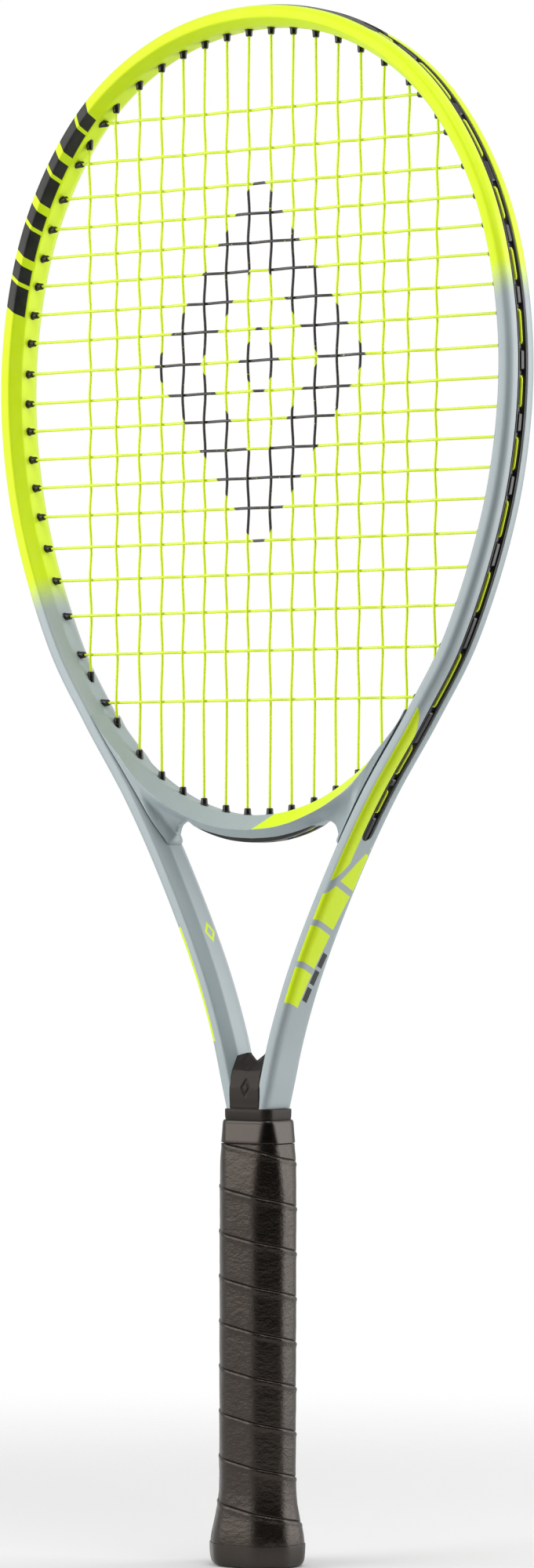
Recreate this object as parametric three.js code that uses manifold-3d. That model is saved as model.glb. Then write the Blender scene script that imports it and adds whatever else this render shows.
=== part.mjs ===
// A strung tennis racket, in millimetres.
// The butt end is at Z = 0 and the tip of the head is at Z = 685.
// X runs across the head, and Y runs through the string bed, with the front at -Y.
import * as THREE from 'three';
import Module from 'manifold-3d';
import { mergeVertices } from 'three/addons/utils/BufferGeometryUtils.js';

const wasm = await Module();
wasm.setup();

// ---------------------------------------------------------------- driving dimensions

const GAP = 0.3; // clearance between neighbouring pieces

// Frame tube: one hairpin whose half centreline runs from the tip of the head to the collar.
const HALF_CENTRELINE = [
  [0, 679.5],
  [47.3, 670.8],
  [89.1, 644],
  [120.5, 595.8],
  [133.7, 535],
  [129, 470.3],
  [107.4, 406.3],
  [86.9, 372],
  [64.1, 338],
  [45.6, 305],
  [25.4, 262],
  [14.8, 232],
  [9.2, 210],
];
const FINE_STEPS = 2000; // steps of the evenly spaced centreline that the stations are picked from
const RUN_ON = 20; // fine steps by which the hairpin runs on below its last point
const HEAD_STATIONS = 22; // sections on half of the head
const SHAFT_STATIONS = 6; // sections on one shaft
const HEAD_END_Z = 320; // the head's stretch of the tube ends where the bridge's feet end
const TUBE_IN = 4.5; // half of the tube's thickness in the plane of the head
const TUBE_BEAM = 10.25; // half of its depth
const TUBE_WALL = 1.3;
const INNER_FLAT = 4.4; // half height of the flat inner wall
const INNER_BEVEL = 3;
const OUTER_FLAT = 7.4;
const OUTER_BEVEL = 1.5;
const PAINT_END_Z = 199.8; // the full section stops here, and a slimmer stub goes on into the handle
const HANDLE_ROOM = { x: 30, y: 15, low: 150, high: 230 }; // a box wider than the handle, for cuts

// String groove along the outside of the head.
const GROOVE_HALF = 3.45;
const GROOVE_FLOOR = 2; // distance from the centreline

// Stubs of the tube inside the handle.
const STUB_CENTRELINE = [
  [8.4, 206],
  [7.5, 197],
  [6.2, 186],
  [5.1, 174],
  [4.6, 158],
  [4.6, 90],
  [4.6, 20],
];
const STUB_IN = 3.6;
const STUB_BEAM = 9.3;
const STUB_CHAMFER = 1.5;
const STUB_WALL = 1.3;
const STUB_STATIONS = 10;
const STUB_SINK = 4; // how far the pallet's pockets go on below the stubs

// Strings.
const STRING_RADIUS = 0.65;
const MAIN_X = [6.1, 18, 30.1, 41.9, 53.8, 66.3, 79.2, 94.1]; // half spread of the mains at SPREAD_Z
const SPREAD_Z = 515;
const MAIN_HIGH_Z = 650; // heights at which the mains' ends are looked for
const MAIN_LOW_Z = 350;
const FAN = 0.0053 / 100; // how much the mains close up towards the throat, per millimetre
const CROSS_Z = [
  639, 621.7, 606.5, 593.3, 580.5, 568, 555.1, 542.3, 528.4, 515,
  502.5, 489.5, 476.7, 463.4, 448.9, 434.4, 418.2, 400.6, 379,
];
const MAIN_Y = 0.8; // the plane of the mains; the crosses lie in the mirrored plane
const STRING_RUN = 4; // distance of a string's outside run from the centreline
const STRING_SIDES = 5;
const CORNER_IN = 1.4; // a string's corners start this many radii up its barrel
const CORNER_ALONG = 2; // and end this many radii along its outside run

// Grommets: a barrel through the tube for each string end.
const BARREL_RADIUS = 1.9;
const BARREL_BORE = 1.25;
const BARREL_PROUD = 3.4; // how far a barrel stands out of the inner wall
const BARREL_SIDES = 5;
const STRIP_FLOOR = 2.3;
const STRIP_CHANNEL = 3;
const STRIP_TOP = 4.4;
const STRIP_HALF = 3;
const CHANNEL_HALF = 1.65;
const BUMPER_HALF_SPAN = 66; // the bumper guard reaches this far to each side of the tip
const BUMPER_TOP = 5.5;
const BUMPER_HALF = 6.4;

// Throat bridge.
const OVAL_FLOOR = [
  [0, 328.2],
  [30, 332],
  [54, 343.1],
  [68, 354],
  [78, 368.6],
];
const BRIDGE_TIP_Z = 372.5;
const BRIDGE_ARCH = [
  [0, 318.2],
  [18, 319.6],
  [34, 323.6],
  [41.5, 326],
  [45.4, 324],
  [46.6, 319],
];
const BRIDGE_FOOT_Z = 315;
const BRIDGE_FLANGE_X = 86;
const BRIDGE_FOOT_X = 52;
const BRIDGE_STRIP_HALF_SPAN = 32;
const BRIDGE_STRIP_HALF = 4.4;
const BRIDGE_STRIP_RISE = 3; // how deep the throat strip sits in the bridge
const BRIDGE_STRIP_PROUD = 1.8;
const BAND_STATIONS = 9; // sections on the throat strip
const CHANNEL_REACH = 1.5; // barrel radii by which the strip's channel passes its last barrel
const OVAL_STEPS = 18;
const ARCH_STEPS = 20;
const CURVE_STEPS = 200; // steps on either curve when a height is read from it
const TIP_OVERLAP = 2; // how far the bridge's tips reach past the curve of its string side
const FOOT_OVERLAP = 1;
const SIDE_EXIT_Z = [329, 338.5, 346, 357]; // where the fourth to seventh mains leave the tube
const THROAT_MAINS = 3; // mains on each side whose ends go through the throat strip

// Handle: an octagon whose three half widths are across, through and corner to corner.
const GRIP = { across: 17.3, through: 14.3, diagonal: 16.6 };
const TAPE = 1.6; // thickness of the grip tape
const GRIP_TOP_Z = 184.3;
const COLLAR_TOP_Z = 194.9;
const RING_TOP_Z = 199.5;
const PALLET_BOTTOM_Z = 3;
const RIM_TOP_Z = 9.7;
const SKIRT_TOP_Z = 27;
const FLARE_TOP_Z = 36;
const FLARE = 1.225; // the grip's growth at the rim of the butt
const FLARE_MIDDLE = { z: 18, scale: 1.13 };
const FLARE_UPPER = { z: 26, scale: 1.04 };
const SKIRT_EDGE_SCALE = 1.05;
const BUTT_LEVELS = [[0, 1.1], [1, 1.17], [4, 1.21]]; // height and growth of the rounded end
const DOOR = { across: 9, through: 6.5, diagonal: 9.4 };
const DOOR_LOW_Z = 0.4;
const DOOR_RECESS = { x: 3, y: 2, z: 1.2 };
const SHOULDER_Z = 164; // the grip starts to narrow towards the collar
const SHOULDER = { across: 15.7, through: 12.7, diagonal: 16.4 }; // the grip's upper end
const COLLAR_FOOT = { across: 15.1, through: 12.1, diagonal: 15.9 };
const COLLAR_LIP = 0.9; // thickness of the collar near its upper edge
const COLLAR_EDGE = 0.4;
const RING = { across: 13, through: 10.6, diagonal: 14.6 }; // the handle's core under the collar
const RING_DRAFT = 0.6;
const PALLET_SHOULDER_Z = 176.3;
const PALLET_WEB_HALF = 2;
const FINISHING = { low: 186, high: 191, lowOut: 0.5, highOut: 0.3, thickness: 0.3 };

// Throat insert.
const INSERT_PEAK_Z = 224;
const INSERT_NOTCH_Z = 219.4;
const INSERT_SHOULDER_Z = 209;
const INSERT_HALF_DEPTH = 10.6;
const INSERT_PEAK_DEPTH = 6;
const INSERT_PEAK_X = 6.5;
const INSERT_FOOT_X = 12; // the outer edges lie inside the shafts, which cut them off
const INSERT_TOP_X = 13;
const INSERT_WIDE = { across: 30, diagonal: 60 }; // wide enough to leave the insert's sides alone

// Small parts.
const STAPLE = { half: 4, wire: 0.8, leg: 4.5, z: 18, outside: 15.4 };
const PLUG_TOP_Z = 45;

// ---------------------------------------------------------------- solids

/** Turns a closed geometry into a solid that can be joined and cut. */
function solid(geometry) {
  geometry.deleteAttribute('normal');
  geometry.deleteAttribute('uv');
  const merged = mergeVertices(geometry);
  return new wasm.Manifold(new wasm.Mesh({
    numProp: 3,
    vertProperties: Float32Array.from(merged.attributes.position.array),
    triVerts: Uint32Array.from(merged.index.array),
  }));
}

/** Turns a solid back into a geometry. */
function toGeometry(body) {
  const mesh = body.getMesh();
  const geometry = new THREE.BufferGeometry();
  geometry.setAttribute('position', new THREE.BufferAttribute(mesh.vertProperties, 3));
  geometry.setIndex(new THREE.BufferAttribute(mesh.triVerts, 1));
  geometry.computeVertexNormals();
  return geometry;
}

const join = (bodies) => bodies.reduce((all, body) => all.add(body));
const cut = (body, tools) => tools.reduce((rest, tool) => rest.subtract(tool), body);

/** A box from its lowest and highest corners. */
function box(low, high) {
  const size = high.map((value, axis) => value - low[axis]);
  const geometry = new THREE.BoxGeometry(...size);
  geometry.translate(...high.map((value, axis) => (value + low[axis]) / 2));
  return solid(geometry);
}

/** A path through given points, which a section follows with one station on each point. */
class Route extends THREE.Curve {
  constructor(points, tangents) {
    super();
    this.points = points;
    this.tangents = tangents ?? points.map((point, i) => {
      const before = points[Math.max(i - 1, 0)];
      const after = points[Math.min(i + 1, points.length - 1)];
      const arriving = point.clone().sub(before).normalize();
      const leaving = after.clone().sub(point).normalize();
      return arriving.add(leaving).normalize();
    });
  }

  station(u) {
    return Math.round(u * (this.points.length - 1));
  }

  getPoint(u) {
    return this.points[this.station(u)].clone();
  }

  getPointAt(u) {
    return this.getPoint(u);
  }

  getTangentAt(u, target = new THREE.Vector3()) {
    return target.copy(this.tangents[this.station(u)]);
  }

  slice(first, last) {
    return new Route(this.points.slice(first, last + 1), this.tangents.slice(first, last + 1));
  }
}

/** Sweeps a section of [outward, y] points along a route in the XZ plane. */
function sweep(route, section) {
  const shape = new THREE.Shape(section.map(([out, y]) => new THREE.Vector2(-y, -out)));
  const steps = route.points.length - 1;
  return solid(new THREE.ExtrudeGeometry(shape, { steps, extrudePath: route }));
}

/** Extrudes an outline of [x, z] points through Y, from -half to +half. */
function plate(outline, half) {
  const shape = new THREE.Shape(outline.map(([x, z]) => new THREE.Vector2(x, z)));
  const geometry = new THREE.ExtrudeGeometry(shape, { depth: 2 * half, bevelEnabled: false });
  geometry.rotateX(Math.PI / 2);
  geometry.translate(0, half, 0);
  return solid(geometry);
}

/** Mirrors a list of [outward, y] points from y > 0 to y < 0, giving a closed section. */
const mirrored = (half) => [...half, ...half.map(([out, y]) => [out, -y]).reverse()];

/** Mirrors a list of [x, z] points that starts on the axis, giving the whole line. */
const spread = (half) => [...half.slice(1).map(([x, z]) => [-x, z]).reverse(), ...half];

/** The corners of an octagon with 45 degree bevels, grown by an offset. */
function octagon({ across, through, diagonal }, offset = 0, scale = 1) {
  const x = (across + offset) * scale;
  const y = (through + offset) * scale;
  const reach = (diagonal + offset) * scale * Math.SQRT2;
  const u = reach - y;
  const v = reach - x;
  return [[x, -v], [x, v], [u, y], [-u, y], [-x, v], [-x, -v], [-u, -y], [u, -y]];
}

/** A closed solid through octagons stacked along Z, given as [z, corners] pairs. */
function loft(levels) {
  const sides = levels[0][1].length;
  const positions = levels.flatMap(([z, corners]) => corners.flatMap(([x, y]) => [x, y, z]));
  const indices = [];
  for (let level = 0; level < levels.length - 1; level += 1) {
    for (let i = 0; i < sides; i += 1) {
      const a = level * sides + i;
      const b = level * sides + ((i + 1) % sides);
      indices.push(a, b, b + sides, a, b + sides, a + sides);
    }
  }
  const top = (levels.length - 1) * sides;
  for (let i = 1; i < sides - 1; i += 1) {
    indices.push(0, i + 1, i, top, top + i, top + i + 1);
  }
  const geometry = new THREE.BufferGeometry();
  geometry.setAttribute('position', new THREE.Float32BufferAttribute(positions, 3));
  geometry.setIndex(indices);
  return solid(geometry);
}

/** A straight round bar between two points. */
function bar(from, to, radius, sides) {
  const axis = to.clone().sub(from);
  const geometry = new THREE.CylinderGeometry(radius, radius, axis.length(), sides);
  const turn = new THREE.Quaternion();
  turn.setFromUnitVectors(new THREE.Vector3(0, 1, 0), axis.clone().normalize());
  geometry.applyQuaternion(turn);
  const middle = from.clone().add(to).multiplyScalar(0.5);
  geometry.translate(middle.x, middle.y, middle.z);
  return solid(geometry);
}

// ---------------------------------------------------------------- the tube's route

const at = (x, z, y = 0) => new THREE.Vector3(x, y, z);

/** The hairpin's centreline, from the left shaft over the head to the right shaft. */
function hairpinRoute() {
  const line = new THREE.CatmullRomCurve3(spread(HALF_CENTRELINE).map(([x, z]) => at(x, z)));
  const fine = line.getSpacedPoints(FINE_STEPS);
  const headStart = fine.findIndex((point) => point.z > HEAD_END_Z);
  const headEnd = FINE_STEPS - headStart;
  const shaftLast = fine[0].clone().lerp(fine[1], -RUN_ON);
  const lengthwise = (first, last, count) => Array.from(
    { length: count },
    (_, i) => fine[Math.round(first + ((last - first) * i) / count)],
  );
  const points = [
    shaftLast,
    ...lengthwise(0, headStart, SHAFT_STATIONS),
    ...lengthwise(headStart, headEnd, 2 * HEAD_STATIONS),
    ...lengthwise(headEnd, FINE_STEPS, SHAFT_STATIONS),
    fine[FINE_STEPS],
    shaftLast.clone().setX(-shaftLast.x),
  ];
  return new Route(points);
}

const hairpin = hairpinRoute();
const headFirst = 1 + SHAFT_STATIONS;
const headLast = headFirst + 2 * HEAD_STATIONS;
const headRoute = hairpin.slice(headFirst, headLast);

/** The outward direction of the tube between two neighbouring stations. */
function outward(from, to) {
  const along = to.clone().sub(from).normalize();
  return at(-along.z, along.x);
}

/**
 * Where a line of strings meets the inner wall: the axis is x for a main and z for a cross.
 * The accept test picks one of the crossings.
 */
function wallCrossing(axis, value, accept) {
  const { points } = headRoute;
  for (let i = 0; i < points.length - 1; i += 1) {
    const out = outward(points[i], points[i + 1]);
    const from = points[i].clone().addScaledVector(out, -TUBE_IN);
    const to = points[i + 1].clone().addScaledVector(out, -TUBE_IN);
    const share = (value - from[axis]) / (to[axis] - from[axis]);
    const wall = from.clone().lerp(to, share);
    if (share >= 0 && share < 1 && accept(wall)) {
      return { wall, out };
    }
  }
  throw new Error('a string misses the frame');
}

/** A string end: the tip of its barrel, its place in the groove and the way out. */
function ending(wall, exit, out, towards, y) {
  const tip = wall.clone().addScaledVector(towards, -BARREL_PROUD).setY(y);
  return { tip, exit: exit.clone().setY(y), out };
}

/** The end of a string whose barrel follows the tube's own normal. */
function straightEnding(axis, value, accept, towards, y) {
  const { wall, out } = wallCrossing(axis, value, accept);
  const exit = wall.clone().addScaledVector(out, TUBE_IN + STRING_RUN);
  return ending(wall, exit, out, towards, y);
}

const ovalCurve = new THREE.SplineCurve(spread(OVAL_FLOOR).map((p) => new THREE.Vector2(...p)));

/** The height of the bridge's string side at a place across it. */
function ovalFloor(x) {
  const points = ovalCurve.getPoints(CURVE_STEPS);
  return points.reduce((best, p) => (Math.abs(p.x - x) < Math.abs(best.x - x) ? p : best)).y;
}

const mainX = (half, z) => half * (1 + FAN * (z - SPREAD_Z));

/** The lower end of a main that runs through the bridge and on to the outside of the tube. */
function sideEnding(x, exitZ) {
  const side = Math.sign(x);
  const wall = at(x, ovalFloor(x));
  const { wall: inner, out } = wallCrossing(
    'z',
    exitZ + TUBE_IN,
    (point) => Math.sign(point.x) === side,
  );
  const exit = inner.clone().addScaledVector(out, TUBE_IN + STRING_RUN);
  return ending(wall, exit, out, at(0, -1), MAIN_Y);
}

/** The lower end of a main that runs straight down through the bridge. */
function throatEnding(x) {
  const exit = at(x, archFloor(x) - BRIDGE_STRIP_PROUD + STRING_RADIUS + GAP);
  return ending(at(x, ovalFloor(x)), exit, at(0, -1), at(0, -1), MAIN_Y);
}

const archCurve = new THREE.SplineCurve(spread(BRIDGE_ARCH).map((p) => new THREE.Vector2(...p)));

/** The height of the bridge's lower side at a place across it. */
function archFloor(x) {
  const points = archCurve.getPoints(CURVE_STEPS);
  return points.reduce((best, p) => (Math.abs(p.x - x) < Math.abs(best.x - x) ? p : best)).y;
}

const above = (point) => point.z > SPREAD_Z;
const below = (point) => point.z < SPREAD_Z;

/** Both ends of every main, from left to right. */
function mainEndings() {
  const columns = [...MAIN_X.map((x) => -x).reverse(), ...MAIN_X];
  return columns.map((x) => {
    const order = MAIN_X.indexOf(Math.abs(x));
    const low = mainX(x, MAIN_LOW_Z);
    const top = straightEnding('x', mainX(x, MAIN_HIGH_Z), above, at(0, 1), MAIN_Y);
    if (order < THROAT_MAINS) {
      return { top, bottom: throatEnding(low) };
    }
    const exitZ = SIDE_EXIT_Z[order - THROAT_MAINS];
    if (exitZ !== undefined) {
      return { top, bottom: sideEnding(low, exitZ) };
    }
    return { top, bottom: straightEnding('x', low, below, at(0, -1), MAIN_Y) };
  });
}

/** Both ends of every cross, from the top down. */
function crossEndings() {
  return CROSS_Z.map((z) => ({
    left: straightEnding('z', z, (point) => point.x < 0, at(-1, 0), -MAIN_Y),
    right: straightEnding('z', z, (point) => point.x > 0, at(1, 0), -MAIN_Y),
  }));
}

const mains = mainEndings();
const crosses = crossEndings();
const throatEnds = mains.slice(MAIN_X.length - THROAT_MAINS, MAIN_X.length + THROAT_MAINS)
  .map(({ bottom }) => bottom);
const tubeEnds = [
  ...mains.flatMap(({ top, bottom }) => [top, bottom]),
  ...crosses.flatMap(({ left, right }) => [left, right]),
].filter((end) => !throatEnds.includes(end));

/** The straight bar from a barrel's tip to past the groove floor. */
function barrelBar(end, radius, past = 0) {
  const along = end.exit.clone().sub(end.tip).normalize();
  const foot = end.exit.clone().addScaledVector(along, past);
  const head = end.tip.clone().addScaledVector(along, -past);
  return bar(head, foot, radius, BARREL_SIDES);
}

// ---------------------------------------------------------------- frame

/** The tube's outer section, grown by an offset. */
function tubeSection(offset = 0) {
  return mirrored([
    [TUBE_IN + offset, OUTER_FLAT],
    [TUBE_IN - OUTER_BEVEL, TUBE_BEAM + offset],
    [INNER_BEVEL - TUBE_IN - offset, TUBE_BEAM + offset],
    [-TUBE_IN - offset, INNER_FLAT + offset],
  ]);
}

/** The hollow inside the tube, which bends round the groove. */
function cavitySection() {
  const inner = GROOVE_FLOOR - TUBE_WALL;
  return mirrored([
    [inner, GROOVE_HALF + TUBE_WALL / 2],
    [TUBE_IN - TUBE_WALL, GROOVE_HALF + TUBE_WALL],
    [TUBE_IN - TUBE_WALL - OUTER_BEVEL / 2, TUBE_BEAM - TUBE_WALL],
    [INNER_BEVEL - TUBE_IN + TUBE_WALL / 2, TUBE_BEAM - TUBE_WALL],
    [TUBE_WALL - TUBE_IN, INNER_FLAT - TUBE_WALL / 2],
  ]);
}

/** A chamfered rectangle for the stub, grown by an offset. */
function stubSection(offset = 0) {
  const out = STUB_IN + offset;
  const beam = STUB_BEAM + offset;
  return mirrored([
    [out, beam - STUB_CHAMFER],
    [out - STUB_CHAMFER, beam],
    [STUB_CHAMFER - out, beam],
    [-out, beam - STUB_CHAMFER],
  ]);
}

/** The route of one stub, from its lower end up into the full section. */
function stubRoute(side, stretch = 0) {
  const points = STUB_CENTRELINE.map(([x, z]) => at(side * x, z)).reverse();
  points[0].z -= stretch;
  const line = new THREE.CatmullRomCurve3(points, false, 'centripetal');
  return new Route(line.getPoints(STUB_STATIONS));
}

/** A box right across the handle, between two heights. */
function handleSlice(low, high) {
  return box([-HANDLE_ROOM.x, -HANDLE_ROOM.y, low], [HANDLE_ROOM.x, HANDLE_ROOM.y, high]);
}

const PAINT_FLOOR = handleSlice(HANDLE_ROOM.low, PAINT_END_Z);
const stubs = (offset, stretch) => [-1, 1].map((side) => (
  sweep(stubRoute(side, stretch), stubSection(offset))
));

/** The whole hairpin as solid bars, grown by an offset. */
function hairpinBody(offset = 0) {
  const rods = cut(sweep(hairpin, tubeSection(offset)), [PAINT_FLOOR.translate([0, 0, -offset])]);
  return join([rods, ...stubs(offset, offset)]);
}

function frameTube() {
  const floor = PAINT_FLOOR.translate([0, 0, TUBE_WALL]);
  const hollow = cut(sweep(hairpin, cavitySection()), [floor]);
  const groove = sweep(headRoute, mirrored([
    [TUBE_IN + GAP, GROOVE_HALF],
    [GROOVE_FLOOR, GROOVE_HALF - GAP],
  ]));
  const holes = tubeEnds.map((end) => barrelBar(end, BARREL_RADIUS + GAP, GAP));
  return cut(hairpinBody(), [hollow, ...stubs(-STUB_WALL, GAP), groove, join(holes)]);
}

// ---------------------------------------------------------------- bridge

const fatHairpin = hairpinBody(GAP);

/** The bridge's outline, whose outer edges run inside the tube. */
function bridgeOutline() {
  const top = ovalCurve.getPoints(OVAL_STEPS).map((p) => [p.x, p.y]);
  const arch = archCurve.getPoints(ARCH_STEPS).map((p) => [p.x, p.y]).reverse();
  const [archEnd] = BRIDGE_ARCH.slice(-1);
  const tip = [top[0][0] - TIP_OVERLAP, BRIDGE_TIP_Z];
  return [
    tip,
    ...top,
    [-tip[0], tip[1]],
    [BRIDGE_FLANGE_X, BRIDGE_TIP_Z],
    [BRIDGE_FOOT_X, BRIDGE_FOOT_Z],
    [archEnd[0] + FOOT_OVERLAP, BRIDGE_FOOT_Z],
    ...arch,
    [-archEnd[0] - FOOT_OVERLAP, BRIDGE_FOOT_Z],
    [-BRIDGE_FOOT_X, BRIDGE_FOOT_Z],
    [-BRIDGE_FLANGE_X, BRIDGE_TIP_Z],
  ];
}

/** A band that follows the bridge's lower side, between two offsets from it. */
function archBand(high, low, halfSpan, half) {
  const last = BAND_STATIONS - 1;
  const xs = Array.from({ length: BAND_STATIONS }, (_, i) => halfSpan * ((2 * i) / last - 1));
  const upper = xs.map((x) => [x, archFloor(x) + high]);
  const lower = xs.map((x) => [x, archFloor(x) - low]).reverse();
  return plate([...upper, ...lower], half);
}

function throatBridge() {
  const seat = archBand(
    BRIDGE_STRIP_RISE,
    BRIDGE_STRIP_RISE,
    BRIDGE_STRIP_HALF_SPAN + GAP,
    BRIDGE_STRIP_HALF + GAP,
  );
  const ends = mains.map(({ bottom }) => bottom);
  const holes = ends.map((end) => barrelBar(end, BARREL_RADIUS + GAP, GAP));
  return cut(plate(bridgeOutline(), TUBE_BEAM), [fatHairpin, seat, join(holes)]);
}

/** The strip under the bridge, with its barrels and a channel for the strings' runs. */
function throatStrip() {
  const band = archBand(
    BRIDGE_STRIP_RISE - GAP,
    BRIDGE_STRIP_PROUD,
    BRIDGE_STRIP_HALF_SPAN,
    BRIDGE_STRIP_HALF,
  );
  const depth = 2 * (STRING_RADIUS + GAP);
  const channel = archBand(
    depth - BRIDGE_STRIP_PROUD,
    BRIDGE_STRIP_RISE,
    MAIN_X[THROAT_MAINS - 1] + CHANNEL_REACH * BARREL_RADIUS,
    CHANNEL_HALF,
  );
  const barrels = throatEnds.map((end) => barrelBar(end, BARREL_RADIUS));
  const bores = throatEnds.map((end) => barrelBar(end, BARREL_BORE, GAP));
  return cut(join([band, ...barrels]), [channel, join(bores)]);
}

// ---------------------------------------------------------------- grommet strips

const midStation = headFirst + HEAD_STATIONS;
const bumperStations = hairpin.points
  .filter((point) => point.z > SPREAD_Z && Math.abs(point.x) < BUMPER_HALF_SPAN).length;
const bumperFirst = midStation - (bumperStations - 1) / 2;

const sideSection = mirrored([
  [STRIP_CHANNEL, CHANNEL_HALF],
  [STRIP_TOP, CHANNEL_HALF],
  [STRIP_TOP, STRIP_HALF],
  [STRIP_FLOOR, STRIP_HALF - GAP],
]);

const bumperSection = mirrored([
  [STRIP_CHANNEL, CHANNEL_HALF],
  [BUMPER_TOP, CHANNEL_HALF],
  [BUMPER_TOP, BUMPER_HALF],
  [TUBE_IN + GAP, BUMPER_HALF],
  [TUBE_IN + GAP, STRIP_HALF],
  [STRIP_FLOOR, STRIP_HALF - GAP],
]);

/** A strip of the groove with the barrels whose feet stand on it. */
function grommetStrip(route, section, holdsEnd) {
  const ends = tubeEnds.filter(holdsEnd);
  const channel = sweep(route, mirrored([
    [STRIP_CHANNEL, CHANNEL_HALF],
    [BUMPER_TOP + GAP, CHANNEL_HALF],
  ]));
  const barrels = ends.map((end) => barrelBar(end, BARREL_RADIUS));
  const bores = ends.map((end) => barrelBar(end, BARREL_BORE, GAP));
  return cut(join([sweep(route, section), ...barrels]), [channel, join(bores)]);
}

const bumperEdge = Math.abs(hairpin.points[bumperFirst].x);
const underBumper = ({ exit }) => exit.z > SPREAD_Z && Math.abs(exit.x) < bumperEdge;

/** The same route, a little shorter at both ends. */
function shortened(route) {
  const points = route.points.map((point) => point.clone());
  const last = points.length - 1;
  const nudge = (end, next) => {
    points[end].add(points[next].clone().sub(points[end]).setLength(GAP));
  };
  nudge(0, 1);
  nudge(last, last - 1);
  return new Route(points, route.tangents);
}

const bumperRoute = hairpin.slice(bumperFirst, bumperFirst + bumperStations - 1);

/** The strip from the bumper guard down to the foot of the head, on the left (-1) or right (1). */
function sideStrip(side) {
  const whole = side < 0
    ? hairpin.slice(headFirst, bumperFirst)
    : hairpin.slice(bumperFirst + bumperStations - 1, headLast);
  const onSide = (end) => Math.sign(end.exit.x) === side && !underBumper(end);
  return grommetStrip(shortened(whole), sideSection, onSide);
}

// ---------------------------------------------------------------- strings

/** The string's way between two exits, along the groove's stations. */
function grooveRun(from, to) {
  const forward = from.exit.x < to.exit.x || (from.exit.x < 0 ? from.exit.z < to.exit.z
    : from.exit.z > to.exit.z);
  const { points, tangents } = headRoute;
  const between = points
    .map((point, i) => {
      const out = outward(at(0, 0), tangents[i]);
      return point.clone().addScaledVector(out, STRING_RUN).setY(from.exit.y);
    })
    .filter((point) => {
      const room = from.exit.distanceTo(to.exit) - 2 * STRING_RADIUS;
      return point.distanceTo(from.exit) < room && point.distanceTo(to.exit) < room;
    });
  return forward ? between : between.reverse();
}

/** The corner where a string turns from its barrel into its outside run. */
function corner(end, towards) {
  const inward = end.tip.clone().sub(end.exit).setLength(CORNER_IN * STRING_RADIUS);
  const along = towards.clone().sub(end.exit).setLength(CORNER_ALONG * STRING_RADIUS);
  return [end.exit.clone().add(inward), end.exit.clone().add(along)];
}

/** The turn from one string end to the next: out, along the groove and back in. */
function turn(from, to) {
  const run = from.out.z < 0 && Math.abs(from.exit.x) < BRIDGE_STRIP_HALF_SPAN
    ? [] : grooveRun(from, to);
  const way = [from.exit, ...run, to.exit];
  return [
    from.tip,
    ...corner(from, way[1]),
    ...run,
    ...corner(to, way[way.length - 2]).reverse(),
    to.tip,
  ];
}

/** A string's first or last end, which stops in its groove. */
const tail = (end) => [end.tip, end.exit];

function stringBody(points) {
  const section = Array.from({ length: STRING_SIDES }, (_, i) => {
    const angle = (2 * Math.PI * i) / STRING_SIDES;
    return [STRING_RADIUS * Math.cos(angle), STRING_RADIUS * Math.sin(angle)];
  });
  return sweep(new Route(points), section);
}

/** The mains' order: from a tail at the left, up and down across the head. */
function mainString() {
  const points = mains.flatMap(({ top, bottom }, i) => {
    const upwards = i % 2 === 0;
    const start = upwards ? bottom : top;
    const end = upwards ? top : bottom;
    const next = mains[i + 1] && (upwards ? mains[i + 1].top : mains[i + 1].bottom);
    return [...(i === 0 ? tail(start).reverse() : []), ...(next ? turn(end, next) : tail(end))];
  });
  return stringBody(points);
}

/** The crosses' order: from a tail at the upper right, back and forth down the head. */
function crossString() {
  const points = crosses.flatMap(({ left, right }, i) => {
    const leftwards = i % 2 === 0;
    const start = leftwards ? right : left;
    const end = leftwards ? left : right;
    const next = crosses[i + 1] && (leftwards ? crosses[i + 1].left : crosses[i + 1].right);
    return [...(i === 0 ? tail(start).reverse() : []), ...(next ? turn(end, next) : tail(end))];
  });
  return stringBody(points);
}

// ---------------------------------------------------------------- handle

const PALLET_OFFSET = -TAPE - GAP;

/** A staple on the front (-1) or back (1) of the butt cap, grown by an offset. */
function staple(side, offset = 0) {
  const { half, wire, leg, z, outside } = STAPLE;
  const span = (from, to) => (side < 0 ? [-to, -from] : [from, to]);
  const part = (x0, x1, depth) => {
    const [low, high] = span(outside - depth - offset, outside + offset);
    return box(
      [x0 - offset, low, z - wire / 2 - offset],
      [x1 + offset, high, z + wire / 2 + offset],
    );
  };
  return join([
    part(-half, half, wire),
    part(-half, -half + wire, leg),
    part(half - wire, half, leg),
  ]);
}

const fatStaples = [-1, 1].map((side) => staple(side, GAP));
const fatStubs = stubs(GAP, STUB_SINK);

/** One half shell of the pallet that is glued over the stubs. */
function pallet(side) {
  const whole = loft([
    [PALLET_BOTTOM_Z, octagon(GRIP, PALLET_OFFSET)],
    [PALLET_SHOULDER_Z, octagon(GRIP, PALLET_OFFSET)],
    [GRIP_TOP_Z, octagon(RING)],
    [COLLAR_TOP_Z - GAP, octagon(RING, -RING_DRAFT)],
  ]);
  const webDepth = STUB_BEAM + GAP;
  const web = box([-PALLET_WEB_HALF, -webDepth, 0], [PALLET_WEB_HALF, webDepth, COLLAR_TOP_Z]);
  const { x, y } = HANDLE_ROOM;
  const [low, high] = side < 0 ? [GAP / -2, y] : [-y, GAP / 2];
  const otherHalf = box([-x, low, 0], [x, high, COLLAR_TOP_Z]);
  return cut(whole, [otherHalf, web, ...fatStubs, ...fatStaples]);
}

/** A sleeve between two lofts, the inner one running past both ends. */
const sleeve = (outer, inner) => cut(loft(outer), [loft(inner)]);

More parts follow.
